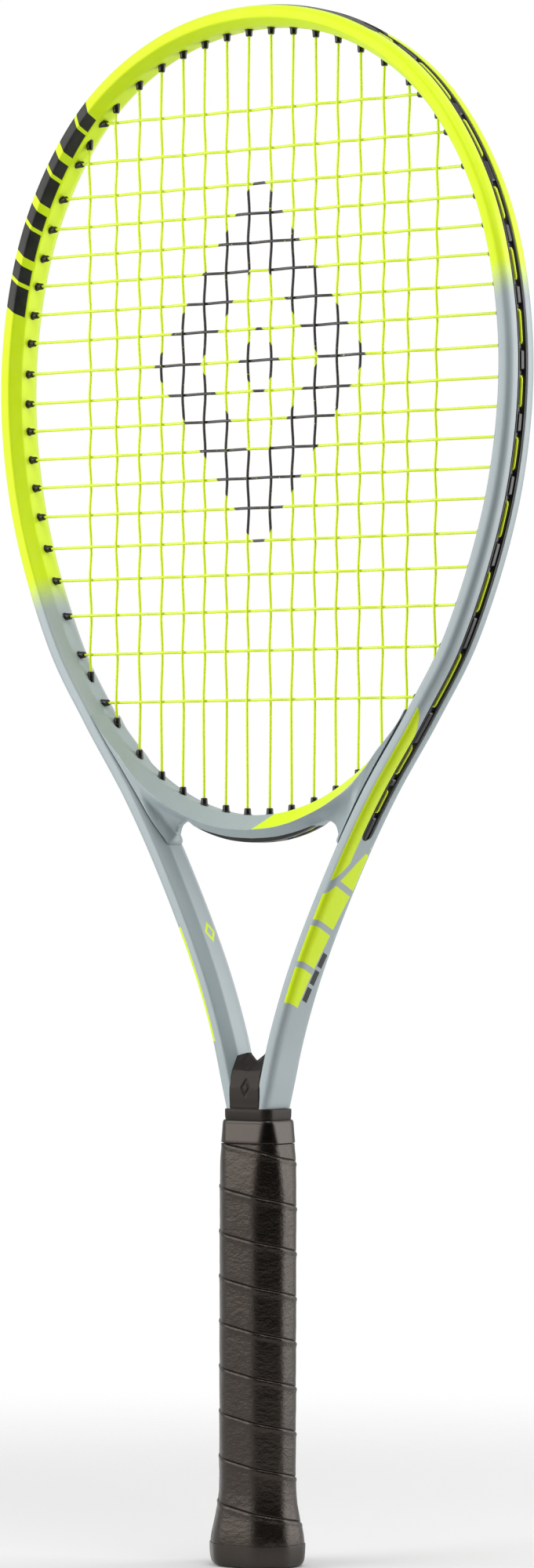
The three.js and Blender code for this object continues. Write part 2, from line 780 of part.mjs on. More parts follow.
function gripTape() {
  const outer = [
    [RIM_TOP_Z + GAP, octagon(GRIP, 0, FLARE)],
    [FLARE_MIDDLE.z, octagon(GRIP, 0, FLARE_MIDDLE.scale)],
    [FLARE_UPPER.z, octagon(GRIP, 0, FLARE_UPPER.scale)],
    [FLARE_TOP_Z, octagon(GRIP)],
    [SHOULDER_Z, octagon(GRIP)],
    [GRIP_TOP_Z, octagon(SHOULDER)],
  ];
  const inner = [
    [RIM_TOP_Z, octagon(GRIP, -TAPE, FLARE)],
    [FLARE_MIDDLE.z, octagon(GRIP, -TAPE, FLARE_MIDDLE.scale)],
    [SKIRT_TOP_Z + GAP, octagon(GRIP, -TAPE, FLARE_UPPER.scale)],
    [SKIRT_TOP_Z + TAPE, octagon(GRIP, -TAPE)],
    [PALLET_SHOULDER_Z, octagon(GRIP, -TAPE)],
    [GRIP_TOP_Z + GAP, octagon(RING, GAP)],
  ];
  return cut(sleeve(outer, inner), fatStaples);
}

function buttCap() {
  const shell = loft([
    ...BUTT_LEVELS.map(([z, scale]) => [z, octagon(GRIP, 0, scale)]),
    [RIM_TOP_Z, octagon(GRIP, 0, FLARE)],
  ]);
  const skirt = loft([
    [RIM_TOP_Z - GAP, octagon(GRIP, PALLET_OFFSET, FLARE)],
    [FLARE_MIDDLE.z, octagon(GRIP, PALLET_OFFSET, FLARE_MIDDLE.scale)],
    [SKIRT_TOP_Z, octagon(GRIP, PALLET_OFFSET, SKIRT_EDGE_SCALE)],
  ]);
  const socket = loft([
    [PALLET_BOTTOM_Z - GAP, octagon(GRIP, PALLET_OFFSET + GAP)],
    [SKIRT_TOP_Z + GAP, octagon(GRIP, PALLET_OFFSET + GAP)],
  ]);
  const doorway = loft([
    [-GAP, octagon(DOOR, GAP)],
    [PALLET_BOTTOM_Z, octagon(DOOR, GAP)],
  ]);
  return cut(join([shell, skirt]), [socket, doorway, ...fatStaples]);
}

/** The trap door in the butt cap, with a finger recess in its face. */
function buttDoor() {
  const panel = loft([[DOOR_LOW_Z, octagon(DOOR)], [PALLET_BOTTOM_Z - GAP, octagon(DOOR)]]);
  const { x, y, z } = DOOR_RECESS;
  return cut(panel, [box([-x, -y, 0], [x, y, z])]);
}

function collar() {
  return sleeve(
    [
      [GRIP_TOP_Z + GAP, octagon(COLLAR_FOOT)],
      [COLLAR_TOP_Z - COLLAR_LIP, octagon(RING, COLLAR_LIP)],
      [COLLAR_TOP_Z, octagon(RING, COLLAR_EDGE)],
    ],
    [
      [GRIP_TOP_Z, octagon(RING, FINISHING.lowOut + GAP)],
      [FINISHING.high + GAP, octagon(RING, FINISHING.highOut + GAP)],
      [COLLAR_TOP_Z + GAP, octagon(RING, -GAP)],
    ],
  );
}

/** The tape that holds the grip tape's upper end down, under the collar. */
function finishingTape() {
  const { low, high, lowOut, highOut, thickness } = FINISHING;
  return sleeve(
    [[low, octagon(RING, lowOut)], [high, octagon(RING, highOut)]],
    [[low - GAP, octagon(RING, lowOut - thickness)], [high + GAP, octagon(RING, highOut - thickness)]],
  );
}

// ---------------------------------------------------------------- throat insert

function throatInsert() {
  const wedge = plate([
    [-INSERT_FOOT_X, COLLAR_TOP_Z + GAP],
    [INSERT_FOOT_X, COLLAR_TOP_Z + GAP],
    [INSERT_TOP_X, INSERT_PEAK_Z],
    [INSERT_PEAK_X, INSERT_PEAK_Z],
    [0, INSERT_NOTCH_Z],
    [-INSERT_PEAK_X, INSERT_PEAK_Z],
    [-INSERT_TOP_X, INSERT_PEAK_Z],
  ], INSERT_HALF_DEPTH);
  const depths = octagon({ ...INSERT_WIDE, through: INSERT_HALF_DEPTH });
  const peakDepths = octagon({ ...INSERT_WIDE, through: INSERT_PEAK_DEPTH });
  const envelope = loft([
    [COLLAR_TOP_Z, depths],
    [INSERT_SHOULDER_Z, depths],
    [INSERT_PEAK_Z + GAP, peakDepths],
  ]);
  const ring = loft([
    [COLLAR_TOP_Z + GAP, octagon(RING)],
    [RING_TOP_Z, octagon(RING)],
  ]);
  return cut(join([wedge.intersect(envelope), ring]), [fatHairpin]);
}

/** A foam plug in the lower end of one stub. */
function foamPlug(side) {
  const whole = sweep(stubRoute(side), stubSection(-STUB_WALL - GAP));
  return cut(whole, [handleSlice(PLUG_TOP_Z, HANDLE_ROOM.high)]);
}

// ---------------------------------------------------------------- the scene

const LIME = 0xd2f500;
const BLUE_GREY = 0xaab9c0;
const BLACK = 0x17171a;
const DARK_BROWN = 0x3d3733;
const STEEL = 0xb8b8bc;

const group = new THREE.Group();

/** Adds one named piece with its own material. */
function add(name, body, color, roughness = 0.5, metalness = 0) {
  const material = new THREE.MeshStandardMaterial({ color, roughness, metalness });
  const mesh = new THREE.Mesh(toGeometry(body), material);
  mesh.name = name;
  group.add(mesh);
}

add('frame_tube', frameTube(), BLUE_GREY, 0.35);
add('throat_bridge', throatBridge(), BLUE_GREY, 0.4);
add('bumper_guard', grommetStrip(bumperRoute, bumperSection, underBumper), BLACK, 0.45);
add('grommet_strip_left', sideStrip(-1), BLACK, 0.45);
add('grommet_strip_right', sideStrip(1), BLACK, 0.45);
add('grommet_strip_throat', throatStrip(), BLACK, 0.45);
add('main_string', mainString(), LIME, 0.4);
add('cross_string', crossString(), LIME, 0.4);
add('throat_insert', throatInsert(), DARK_BROWN, 0.6);
add('pallet_front', pallet(-1), BLACK, 0.7);
add('pallet_back', pallet(1), BLACK, 0.7);
add('foam_plug_left', foamPlug(-1), BLACK, 0.9);
add('foam_plug_right', foamPlug(1), BLACK, 0.9);
add('finishing_tape', finishingTape(), BLACK, 0.5);
add('rubber_collar', collar(), DARK_BROWN, 0.5);
add('grip_tape', gripTape(), DARK_BROWN, 0.45);
add('butt_cap', buttCap(), DARK_BROWN, 0.5);
add('butt_door', buttDoor(), DARK_BROWN, 0.5);
add('staple_front', staple(-1), STEEL, 0.3, 1);
add('staple_back', staple(1), STEEL, 0.3, 1);

export default group;
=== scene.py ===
"""A strung tennis racket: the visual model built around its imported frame.

Shapes are worked out in millimetres and turned into metres when a mesh is made.
+Z runs from the butt to the tip of the head, and the front is at -Y.
"""

import math

import bmesh
import bpy
import numpy as np
from mathutils import Matrix, Vector


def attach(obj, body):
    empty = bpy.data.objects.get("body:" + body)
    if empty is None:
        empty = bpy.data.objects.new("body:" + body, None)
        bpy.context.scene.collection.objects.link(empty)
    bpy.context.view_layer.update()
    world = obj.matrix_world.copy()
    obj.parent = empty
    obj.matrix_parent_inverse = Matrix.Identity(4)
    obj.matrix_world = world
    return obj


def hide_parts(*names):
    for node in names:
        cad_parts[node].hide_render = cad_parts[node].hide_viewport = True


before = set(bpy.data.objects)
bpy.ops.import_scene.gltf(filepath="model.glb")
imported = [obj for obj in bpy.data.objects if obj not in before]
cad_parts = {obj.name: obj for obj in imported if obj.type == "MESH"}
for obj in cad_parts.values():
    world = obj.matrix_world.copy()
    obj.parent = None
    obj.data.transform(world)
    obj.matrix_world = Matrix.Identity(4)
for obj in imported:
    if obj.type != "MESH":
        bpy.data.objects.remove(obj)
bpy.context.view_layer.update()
MM = 0.001

# ---- driving sizes, in millimetres

# Half centreline of the hairpin tube, from the tip of the head to the handle, as [x, z].
HALF_CENTRELINE = [
    [0, 679.5], [47.3, 670.8], [89.1, 644], [120.5, 595.8], [133.7, 535], [129, 470.3],
    [107.4, 406.3], [86.9, 372], [64.1, 338], [45.6, 305], [25.4, 262], [14.8, 232], [9.2, 210],
]
TUBE_IN = 4.5
TUBE_BEAM = 10.25
INNER_FLAT = 4.4
INNER_BEVEL = 3
OUTER_FLAT = 7.4
OUTER_BEVEL = 1.5
PAINT_END_Z = 199.8
HANDLE_RUN = 16
GROOVE_HALF = 3.75
GROOVE_FLOOR = 2
GROOVE_END_Z = 319
STRIP_HALF = 3.55
STRIP_FLOOR = 2.95
STRIP_TOP = 4.4
STRIP_BASE = 2.25

STRING_RADIUS = 0.65
MAIN_X = [6.1, 18, 30.1, 41.9, 53.8, 66.3, 79.2, 94.1]
CROSS_Z = [
    639, 621.7, 606.5, 593.3, 580.5, 568, 555.1, 542.3, 528.4, 515,
    502.5, 489.5, 476.7, 463.4, 448.9, 434.4, 418.2, 400.6, 379,
]
SPREAD_Z = 515
FAN = 0.0053 / 100
MAIN_LOW_Z = 350
MAIN_HIGH_Z = 650
MAIN_WEAVE = 0.5
CROSS_WEAVE = 0.8
STRING_RUN = 3.66
STRING_BEND = 1.1
STRING_STEP = 1.9
STRING_SIDES = 10
SIDE_EXIT_Z = [333.5, 343, 350.5, 361.5]
THROAT_MAINS = 3
THROAT_STRIP_SPAN = 32
THROAT_STRIP_PROUD = 1.9
BARREL_PROUD = 3.1

BUMPER_HALF_SPAN = 64

# The bridge's three guide lines from its middle to its tip, as [x, z]: the string side, the
# ridge of the front face, and the free or seated edge. The last line has a half depth too.
OVAL_LINE = [
    [0, 328.2], [14, 329.2], [26.5, 332], [36, 335.4], [43, 338.8], [48, 341.6], [51.5, 343.8],
    [54.5, 345.8], [57.5, 348], [60.5, 350.3], [63.5, 352.8], [67, 356], [71, 360.5],
    [75.4, 365.5], [79.1, 370], [80.8, 372.2], [82, 373.6],
]
RIDGE_LINE = [
    [0, 321.8], [13, 322.7], [24, 325], [33, 328.2], [40.5, 331.4], [46, 334.4], [50, 336.8],
    [53, 338.8], [55.8, 340.9], [58.6, 343.3], [61.7, 346.3], [65.6, 350.4], [70, 355.8],
    [76, 361.9], [81, 367.5], [82.9, 370.1], [84.6, 373],
]
FREE_LINE = [
    [0, 318.2, 5.2], [12, 318.9, 5.2], [22, 320.8, 5.2], [31, 323.4, 5.4], [38.5, 326, 5.6],
    [42.6, 324.2, 5.4], [44, 320.4, 5.2], [44.7, 317, 5.2], [45.9, 315.4, 5.3],
]
RIM_SHARE = [[315, 0.94], [324, 0.46], [341, 0.2], [358, 0.05], [372, 0]]
RIM_Z = [316.8, 321, 327, 338, 350, 361, 368.5, 373]
RIM_PROUD = 0.9
POCKET_DEPTH = 3.4

# Handle: half widths across, through and corner to corner.
GRIP = (17.3, 14.3, 16.6)
SHOULDER = (15.8, 12.8, 16.5)
SHOULDER_Z = [160, 186]
RING = (13, 10.6, 14.6)
COLLAR_LIP = (13.7, 10.8, 15.3)
DOOR = (9, 6.5, 9.4)
GRIP_TOP_Z = 184.3
RIM_TOP_Z = 9.7
FLARE = [[0, 1.1], [0.5, 1.145], [1.4, 1.178], [3, 1.203], [5.5, 1.218], [8.5, 1.225],
         [11.5, 1.219], [15, 1.182], [18, 1.142], [20, 1.115], [26, 1.045], [32, 1.01], [38, 1.0],
         [230, 1.0]]
TAPE_PITCH = 19.7
SEAM_Z = 181
SEAM_FACING = math.radians(-54)

# ---- node graphs


class Nodes:
    """A node tree, with short calls for making and joining its nodes."""

    def __init__(self, owner):
        owner.use_nodes = True
        self.tree = owner.node_tree

    def find(self, kind):
        return next(n for n in self.tree.nodes if n.type == kind)

    def feed(self, socket, value):
        if isinstance(value, bpy.types.NodeSocket):
            self.tree.links.new(value, socket)
        elif isinstance(value, tuple) and len(value) == 3 and socket.type == "RGBA":
            socket.default_value = (*value, 1)
        else:
            socket.default_value = value

    def node(self, kind, inputs=(), **settings):
        """A new node, with its settings and then its inputs by name or number."""
        made = self.tree.nodes.new(kind)
        for key, value in settings.items():
            setattr(made, key, value)
        for socket, value in dict(inputs).items():
            self.feed(made.inputs[socket], value)
        return made

    def blend(self, share, first, second, output):
        """Shows a mix of two shaders through the tree's output node."""
        mixed = self.node(
            "ShaderNodeMixShader", {0: share, 1: first.outputs[0], 2: second.outputs[0]})
        self.feed(self.find(output).inputs["Surface"], mixed.outputs[0])


class Graph(Nodes):
    """A material's node tree; its axes are the point's x, y and z in millimetres."""

    def __init__(self, name, colour, roughness, **settings):
        self.material = bpy.data.materials.new(name)
        super().__init__(self.material)
        self.shader = self.find("BSDF_PRINCIPLED")
        self.set("Base Color", colour)
        self.set("Roughness", roughness)
        for socket, value in settings.items():
            self.set(socket.replace("_", " "), value)
        place = self.node("ShaderNodeTexCoord").outputs["Object"]
        inputs = {0: place, "Scale": 1 / MM}
        self.vector = self.node("ShaderNodeVectorMath", inputs, operation="SCALE").outputs[0]
        self.axes = list(self.node("ShaderNodeSeparateXYZ", {0: self.vector}).outputs)

    def set(self, socket, value):
        self.feed(self.shader.inputs[socket], value)

    def math(self, operation, *values):
        return self.node("ShaderNodeMath", enumerate(values), operation=operation).outputs[0]

    def chain(self, operation, values):
        total = values[0]
        for value in values[1:]:
            total = self.math(operation, total, value)
        return total

    def add(self, *values):
        return self.chain("ADD", values)

    def times(self, *values):
        return self.chain("MULTIPLY", values)

    def either(self, *values):
        return self.chain("MAXIMUM", values)

    def minus(self, value, taken):
        return self.math("SUBTRACT", value, taken)

    def over(self, value, whole):
        return self.math("DIVIDE", value, whole)

    def size(self, value):
        return self.math("ABSOLUTE", value)

    def repeat(self, value, pitch):
        """0 to 1 along each pitch of value."""
        return self.math("FRACT", self.over(value, pitch))

    def attribute(self, name):
        return self.node("ShaderNodeAttribute", attribute_name=name).outputs["Fac"]

    def past(self, value, edge, blur=0.12):
        """1 where value is over edge, with a soft step of the given half width."""
        inputs = {"Value": value, "From Min": edge - blur, "From Max": edge + blur}
        return self.node("ShaderNodeMapRange", inputs, interpolation_type="SMOOTHSTEP").outputs[0]

    def short(self, value, edge, blur=0.12):
        """1 where value is under edge."""
        return self.minus(1, self.past(value, edge, blur))

    def within(self, value, low, high, blur=0.12):
        """1 where value is between low and high."""
        return self.minus(self.past(value, low, blur), self.past(value, high, blur))

    def noise(self, scale, detail=3, roughness=0.55, stretch=None):
        """Noise with features of the given size in millimetres."""
        vector = self.vector
        if stretch is not None:
            vector = self.node(
                "ShaderNodeVectorMath", {0: vector, 1: stretch}, operation="MULTIPLY").outputs[0]
        inputs = {"Vector": vector, "Scale": 1 / scale, "Detail": detail, "Roughness": roughness}
        return self.node("ShaderNodeTexNoise", inputs).outputs["Fac"]

    def cells(self, scale):
        """Voronoi distance with cells of the given size in millimetres."""
        inputs = {"Vector": self.vector, "Scale": 1 / scale}
        return self.node("ShaderNodeTexVoronoi", inputs).outputs["Distance"]

    def spread(self, value, low, high):
        """Maps 0..1 to low..high."""
        inputs = {"Value": value, "To Min": low, "To Max": high}
        return self.node("ShaderNodeMapRange", inputs).outputs[0]

    def mix(self, share, first, second):
        inputs = {0: share, 6: first, 7: second}
        return self.node("ShaderNodeMix", inputs, data_type="RGBA").outputs[2]

    def gloss(self, grain, low, high):
        self.set("Roughness", self.spread(grain, low, high))

    def bump(self, height, depth):
        """A bump whose full height is depth millimetres."""
        made = self.node("ShaderNodeBump", {"Distance": depth * MM, "Height": height})
        self.set("Normal", made.outputs[0])


# ---- meshes


def put(name, data):
    """Adds a new object to the scene."""
    made = bpy.data.objects.new(name, data)
    bpy.context.scene.collection.objects.link(made)
    return made


def new_piece(name, points, faces, material, slot, replaced=(), sharp=50, **attributes):
    """Makes a closed mesh from points in millimetres, which rides on the frame."""
    mesh = bpy.data.meshes.new(name)
    mesh.from_pydata((np.asarray(points, float) * MM).tolist(), [], faces)
    for key, values in attributes.items():
        mesh.attributes.new(key, "FLOAT", "POINT").data.foreach_set(
            "value", np.asarray(values, np.float32).ravel())
    bm = bmesh.new()
    bm.from_mesh(mesh)
    bmesh.ops.recalc_face_normals(bm, faces=bm.faces)
    bm.to_mesh(mesh)
    bm.free()
    mesh.shade_smooth()
    mesh.set_sharp_from_angle(angle=math.radians(sharp))
    mesh.materials.append(material)
    piece = put(name, mesh)
    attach(piece, "root")
    if replaced:
        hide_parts(*replaced)
    return piece


class Parts:
    """Points and faces of several closed shells that make one piece."""

    def __init__(self):
        self.points = []
        self.faces = []

    def add(self, rings, looped=False):
        """Adds closed rings of points, with flat ends unless the rings form a loop."""
        rings = np.asarray(rings, float)
        count, sides = rings.shape[:2]
        start = len(self.points)
        for ring in range(count if looped else count - 1):
            low = start + ring * sides
            high = start + ((ring + 1) % count) * sides
            for i in range(sides):
                j = (i + 1) % sides
                self.faces.append((low + i, low + j, high + j, high + i))
        if not looped:
            for first in (start, start + (count - 1) * sides):
                self.faces.append(tuple(range(first, first + sides)))
        self.points += rings.reshape(-1, 3).tolist()

    def piece(self, name, material, slot, **settings):
        new_piece(name, self.points, self.faces, material, slot, **settings)


def ring_piece(name, rings, material, slot, looped=False, **settings):
    """Makes a piece of one shell."""
    parts = Parts()
    parts.add(rings, looped)
    parts.piece(name, material, slot, **settings)


def lifted(flat, y):
    """Turns [x, z] points into [x, y, z] points."""
    flat = np.asarray(flat, float)
    return np.stack([flat[..., 0], np.broadcast_to(y, flat.shape[:-1]), flat[..., 1]], -1)


def read(table, x):
    """Reads a table of [x, value] rows at x."""
    return np.interp(x, *np.array(table).T)


def bend(before, corner, after, radius, count, most):
    """A curve round a corner, which takes up at most a share of each side."""
    back, on = before - corner, after - corner
    start = corner + back * min(radius / max(np.linalg.norm(back), 1e-9), most)
    end = corner + on * min(radius / max(np.linalg.norm(on), 1e-9), most)
    t = np.linspace(0, 1, count)[:, None]
    return (1 - t) ** 2 * start + 2 * t * (1 - t) * corner + t ** 2 * end


def closed_section(corners, radii, steps=3):
    """A section whose half at Y >= 0 runs through corners, each rounded by its radius."""
    corners = np.asarray(corners, float)
    inner = zip(corners, corners[1:], corners[2:], radii)
    bends = [bend(*place, steps + 1, 0.48) for place in inner]
    half = np.vstack([corners[:1], *bends, corners[-1:]])
    return np.vstack([half, half[1:-1][::-1] * [1, -1]])


def centripetal(points, per_span=40):
    """A centripetal Catmull-Rom curve through points, as a dense line."""
    points = np.asarray(points, float)
    first = 2 * points[0] - points[1]
    last = 2 * points[-1] - points[-2]
    spans = np.vstack([first, points, last])
    t = np.linspace(0, 1, per_span, endpoint=False)[:, None]
    pieces = []
    for p0, p1, p2, p3 in zip(spans, spans[1:], spans[2:], spans[3:]):
        d0, d1, d2 = (np.linalg.norm(b - a) ** 0.5 for a, b in ((p0, p1), (p1, p2), (p2, p3)))
        m1 = ((p1 - p0) / d0 - (p2 - p0) / (d0 + d1) + (p2 - p1) / d1) * d1
        m2 = ((p2 - p1) / d1 - (p3 - p1) / (d1 + d2) + (p3 - p2) / d2) * d1
        pieces.append((2 * t ** 3 - 3 * t ** 2 + 1) * p1 + (t ** 3 - 2 * t ** 2 + t) * m1
                      + (3 * t ** 2 - 2 * t ** 3) * p2 + (t ** 3 - t ** 2) * m2)
    return np.vstack([*pieces, points[-1:]])


def lengths_along(points):
    steps = np.linalg.norm(np.diff(points, axis=0), axis=1)
    return np.concatenate([[0], np.cumsum(steps)])


class Line:
    """A smooth line in the XZ plane, read by its length from the middle."""

    def __init__(self, points):
        self.points = points
        lengths = lengths_along(points)
        self.half = lengths[-1] / 2
        self.lengths = lengths - self.half

    def at(self, s):
        return np.stack([np.interp(s, self.lengths, self.points[:, k]) for k in (0, 1)], -1)

    def tangent(self, s):
        along = self.at(np.asarray(s) + 0.4) - self.at(np.asarray(s) - 0.4)
        return along / np.linalg.norm(along, axis=-1, keepdims=True)

    def outward(self, s):
        tangent = self.tangent(s)
        return np.stack([-tangent[..., 1], tangent[..., 0]], -1)

    def offset(self, s, out):
        return self.at(s) + self.outward(s) * np.asarray(out)[..., None]

    def crossing(self, axis, value, out, side):
        """The length where the line offset by out passes a value of x (0) or z (1)."""
        s = np.arange(0, self.half, 0.25) * side
        path = self.offset(s, out)[:, axis]
        hits = np.nonzero((path[:-1] - value) * (path[1:] - value) <= 0)[0]
        return s[hits]

    def place(self, s, sections):
        """Rings of points for sections of [out, y] at the lengths s."""
        flat = self.at(s)[:, None] + sections[..., :1] * self.outward(s)[:, None]
        return lifted(flat, sections[..., 1])


def spread(half):
    """Mirrors [x, z] points that start at x = 0 to the whole line, left to right."""
    return [[-x, z] for x, z in half[1:]][::-1] + half


def hairpin_line():
    """The tube's centreline, which runs on straight into the handle."""
    line = centripetal(spread(HALF_CENTRELINE))
    stretch = HANDLE_RUN / np.linalg.norm(line[0] - line[1])
    first = line[0] + (line[0] - line[1]) * stretch
    last = line[-1] + (line[-1] - line[-2]) * stretch
    return Line(np.vstack([first, line, last]))


hairpin = hairpin_line()
groove_end = hairpin.crossing(1, GROOVE_END_Z, 0, 1)[-1]

# ---- frame tube


def smooth(value, low, high):
    """0 below low, 1 above high and a smooth step between."""
    t = np.clip((np.asarray(value, float) - low) / (high - low), 0, 1)
    return t * t * (3 - 2 * t)


def groove_half(s, half):
    """The groove's half width, which closes in a half circle at each end."""
    room = np.clip((groove_end - abs(s)) / half, 0, 1)
    return half * math.sqrt(1 - (1 - room) ** 2)


def tube_section(s):
    half = max(groove_half(s, GROOVE_HALF), 0.02)
    floor = GROOVE_FLOOR if abs(s) < groove_end else TUBE_IN
    return closed_section([
        [floor, 0], [floor, half * 0.93], [TUBE_IN, half], [TUBE_IN, OUTER_FLAT + 0.3],
        [TUBE_IN - OUTER_BEVEL + 0.2, TUBE_BEAM], [INNER_BEVEL - TUBE_IN, TUBE_BEAM],
        [-TUBE_IN, INNER_FLAT], [-TUBE_IN, 0],
    ], [0.2, 0.35, 1.9, 1.5, 0.9, 0.9], steps=4)


def frame_tube(material):
    """The tube, whose rings are closer together where the groove ends."""
    half = np.concatenate([
        np.arange(0, groove_end - 4.5, 2.4),
        groove_end + np.linspace(-4, 0.4, 16),
        np.arange(groove_end + 2, hairpin.half, 2.6),
    ])
    s = np.concatenate([-half[:0:-1], half])
    sections = np.array([tube_section(value) for value in s])
    rings = hairpin.place(s, sections)
    keep = rings[..., 2].min(1) > PAINT_END_Z + 0.6
    rings, sections, s = rings[keep], sections[keep], s[keep]
    foot = rings[[0, -1]].copy()
    inner = rings[[1, -2]]
    share = (foot[..., 2] - PAINT_END_Z) / (inner[..., 2] - foot[..., 2])
    foot += (foot - inner) * share[..., None]
    rings = np.vstack([foot[:1], rings, foot[1:]])
    sections = np.vstack([sections[:1], sections, sections[-1:]])
    s = np.concatenate([s[:1] - 2, s, s[-1:] + 2])
    ring_piece(
        "frame_hairpin", rings, material, "frame_paint", replaced=["frame_tube"], sharp=40,
        along=np.repeat(s, rings.shape[1]), out=sections[..., 0])


# ---- string ends


class End:
    """Where a string leaves the head: its barrel's tip, its wall and its place in the groove."""

    def __init__(self, wall, towards, s=None, foot=None):
        self.wall = lifted(wall, 0)
        self.towards = lifted(towards, 0)
        self.tip = self.wall - self.towards * BARREL_PROUD
        self.s = s
        self.exit = lifted(foot if s is None else hairpin.offset(s, STRING_RUN), 0)


def head_end(axis, value, towards):
    """A string end on the head, where the string's line meets the inner wall."""
    side = 1 if (value if axis == 0 else towards[0]) > 0 else -1
    hits = hairpin.crossing(axis, value, -TUBE_IN, side)
    s = hits[0]
    if axis == 0:
        heights = hairpin.at(hits)[:, 1]
        low = np.argmin(np.where(heights > GROOVE_END_Z, heights, 1e9))
        s = hits[np.argmax(heights) if towards[1] > 0 else low]
    return End(hairpin.offset(s, -TUBE_IN), towards, s)


def main_x(half, z):
    return half * (1 + FAN * (z - SPREAD_Z))


oval = centripetal(spread(OVAL_LINE))
arch = centripetal(spread([[x, z] for x, z, _ in FREE_LINE[:5]]))





def throat_proud(x):
    """How far the throat's strip stands out below the bridge."""
    return THROAT_STRIP_PROUD * math.sqrt(max(1 - (x / THROAT_STRIP_SPAN) ** 2, 0.0004))


COLUMNS = [-x for x in MAIN_X[::-1]] + MAIN_X


def main_ends():
    ends = []
    for x in COLUMNS:
        order = MAIN_X.index(abs(x))
        low = main_x(x, MAIN_LOW_Z)
        top = head_end(0, main_x(x, MAIN_HIGH_Z), (0, 1))
        if order < THROAT_MAINS:
            rest = read(arch, low) - throat_proud(low) + STRING_RADIUS + 0.15
            bottom = End((low, read(oval, low)), (0, -1), foot=(low, rest))
        elif order - THROAT_MAINS < len(SIDE_EXIT_Z):
            side = 1 if x > 0 else -1
            s = hairpin.crossing(1, SIDE_EXIT_Z[order - THROAT_MAINS], -TUBE_IN, side)[-1]
            bottom = End((low, read(oval, low)), (0, -1), s)
        else:
            bottom = head_end(0, low, (0, -1))
        ends.append((top, bottom))
    return ends


mains = main_ends()
crosses = [(head_end(1, z, (-1, 0)), head_end(1, z, (1, 0))) for z in CROSS_Z]

# ---- strings





def outside_turn(first, second):
    """From one barrel's tip out, along the groove and back in at the next barrel."""
    if first.s is None or second.s is None:
        share = np.linspace(0, 1, 6)[1:-1, None]
        run = first.exit + (second.exit - first.exit) * share
    else:
        count = max(int(abs(second.s - first.s) / 1.5), 2)
        s = np.linspace(first.s, second.s, count + 2)[1:-1]
        run = lifted(hairpin.offset(s, STRING_RUN), 0)
    way = [first.exit, *run, second.exit]

    def corner(end, towards):
        inward = (end.wall - end.exit) / np.linalg.norm(end.wall - end.exit)
        along = (towards - end.exit) / np.linalg.norm(towards - end.exit)
        start = end.exit + inward * STRING_BEND
        finish = end.exit + along * STRING_BEND
        return [start, (start + 2 * end.exit + finish) / 4, finish]

    out = corner(first, way[1])
    back = corner(second, way[-2])[::-1]
    return np.array([first.wall, *out, *run[1:-1], *back, second.wall])


def woven(start, end, places, heights):
    """A string between two tips whose Y swings from crossing to crossing."""
    span = np.linalg.norm(end - start)
    knots = np.concatenate([[0], places, [span]])
    levels = np.concatenate([[0], heights, [0]])
    s = np.arange(0, span, STRING_STEP)
    index = np.clip(np.searchsorted(knots, s, "right") - 1, 0, len(knots) - 2)
    share = (s - knots[index]) / (knots[index + 1] - knots[index])
    ease = (1 - np.cos(math.pi * share)) / 2
    y = levels[index] * (1 - ease) + levels[index + 1] * ease
    points = start + (end - start) * (s / span)[:, None]
    points[:, 1] = y
    return points


def tube_rings(path, radius, sides):
    """Rings round a path whose normal starts near Y and never twists."""
    path = np.asarray(path)
    ahead = np.vstack([path[1:], 2 * path[-1] - path[-2]])
    behind = np.vstack([2 * path[0] - path[1], path[:-1]])
    tangents = ahead - behind
    tangents /= np.linalg.norm(tangents, axis=1, keepdims=True)
    angles = np.linspace(0, 2 * math.pi, sides, endpoint=False)
    normal = np.array([0.0, 1.0, 0.0])
    rings = []
    for point, tangent in zip(path, tangents):
        normal = normal - tangent * (normal @ tangent)
        normal /= np.linalg.norm(normal)
        side = np.cross(tangent, normal)
        rings.append(point + radius * (np.outer(np.cos(angles), normal)
                                       + np.outer(np.sin(angles), side)))
    return np.array(rings)


def laced(name, node, pairs, axis, knots, weave, material):
    """One string through all pairs of ends, from side to side along an axis, x (0) or z (2)."""
    path = []
    for i, pair in enumerate(pairs):
        turn = i % 2
        start, end = pair[1 - turn], pair[turn]
        places = np.array(knots(i), float)
        heights = np.where((np.arange(len(places)) + i) % 2 == 0, weave, -weave)
        low, high = sorted((start.tip[axis], end.tip[axis]))
        inside = (places > low + 1) & (places < high - 1)
        reach = abs(places - start.tip[axis])[inside]
        order = np.argsort(reach)
        if i == 0:
            path += [start.exit, start.wall]
        path += woven(start.tip, end.tip, reach[order], heights[inside][order]).tolist()
        if i + 1 < len(pairs):
            path += outside_turn(end, pairs[i + 1][turn]).tolist()
        else:
            path += [end.wall, end.exit]
    path = np.array(path)
    run = lengths_along(path)
    ring_piece(
        name, tube_rings(path, STRING_RADIUS, STRING_SIDES), material, "string",
        replaced=[node], sharp=40, run=np.repeat(run, STRING_SIDES))


def string_bed(material):
    """The main string over the rows of crosses, and the cross string over the columns."""
    laced("string_mains", "main_string", mains, 2, lambda i: CROSS_Z, MAIN_WEAVE, material)
    laced("string_crosses", "cross_string", crosses, 0,
          lambda i: [main_x(x, CROSS_Z[i]) for x in COLUMNS], -CROSS_WEAVE, material)


# ---- grommets


def lathe(profile, origin, axis, sides=20):
    """Rings of a turned shape: [distance along the axis, radius] pairs from the origin."""
    axis = np.asarray(axis, float) / np.linalg.norm(axis)
    first = np.cross(axis, [0, 1, 0])
    first /= np.linalg.norm(first)
    second = np.cross(axis, first)
    angles = np.linspace(0, 2 * math.pi, sides, endpoint=False)
    circle = np.outer(np.cos(angles), first) + np.outer(np.sin(angles), second)
    return [np.asarray(origin) + axis * height + circle * radius for height, radius in profile]


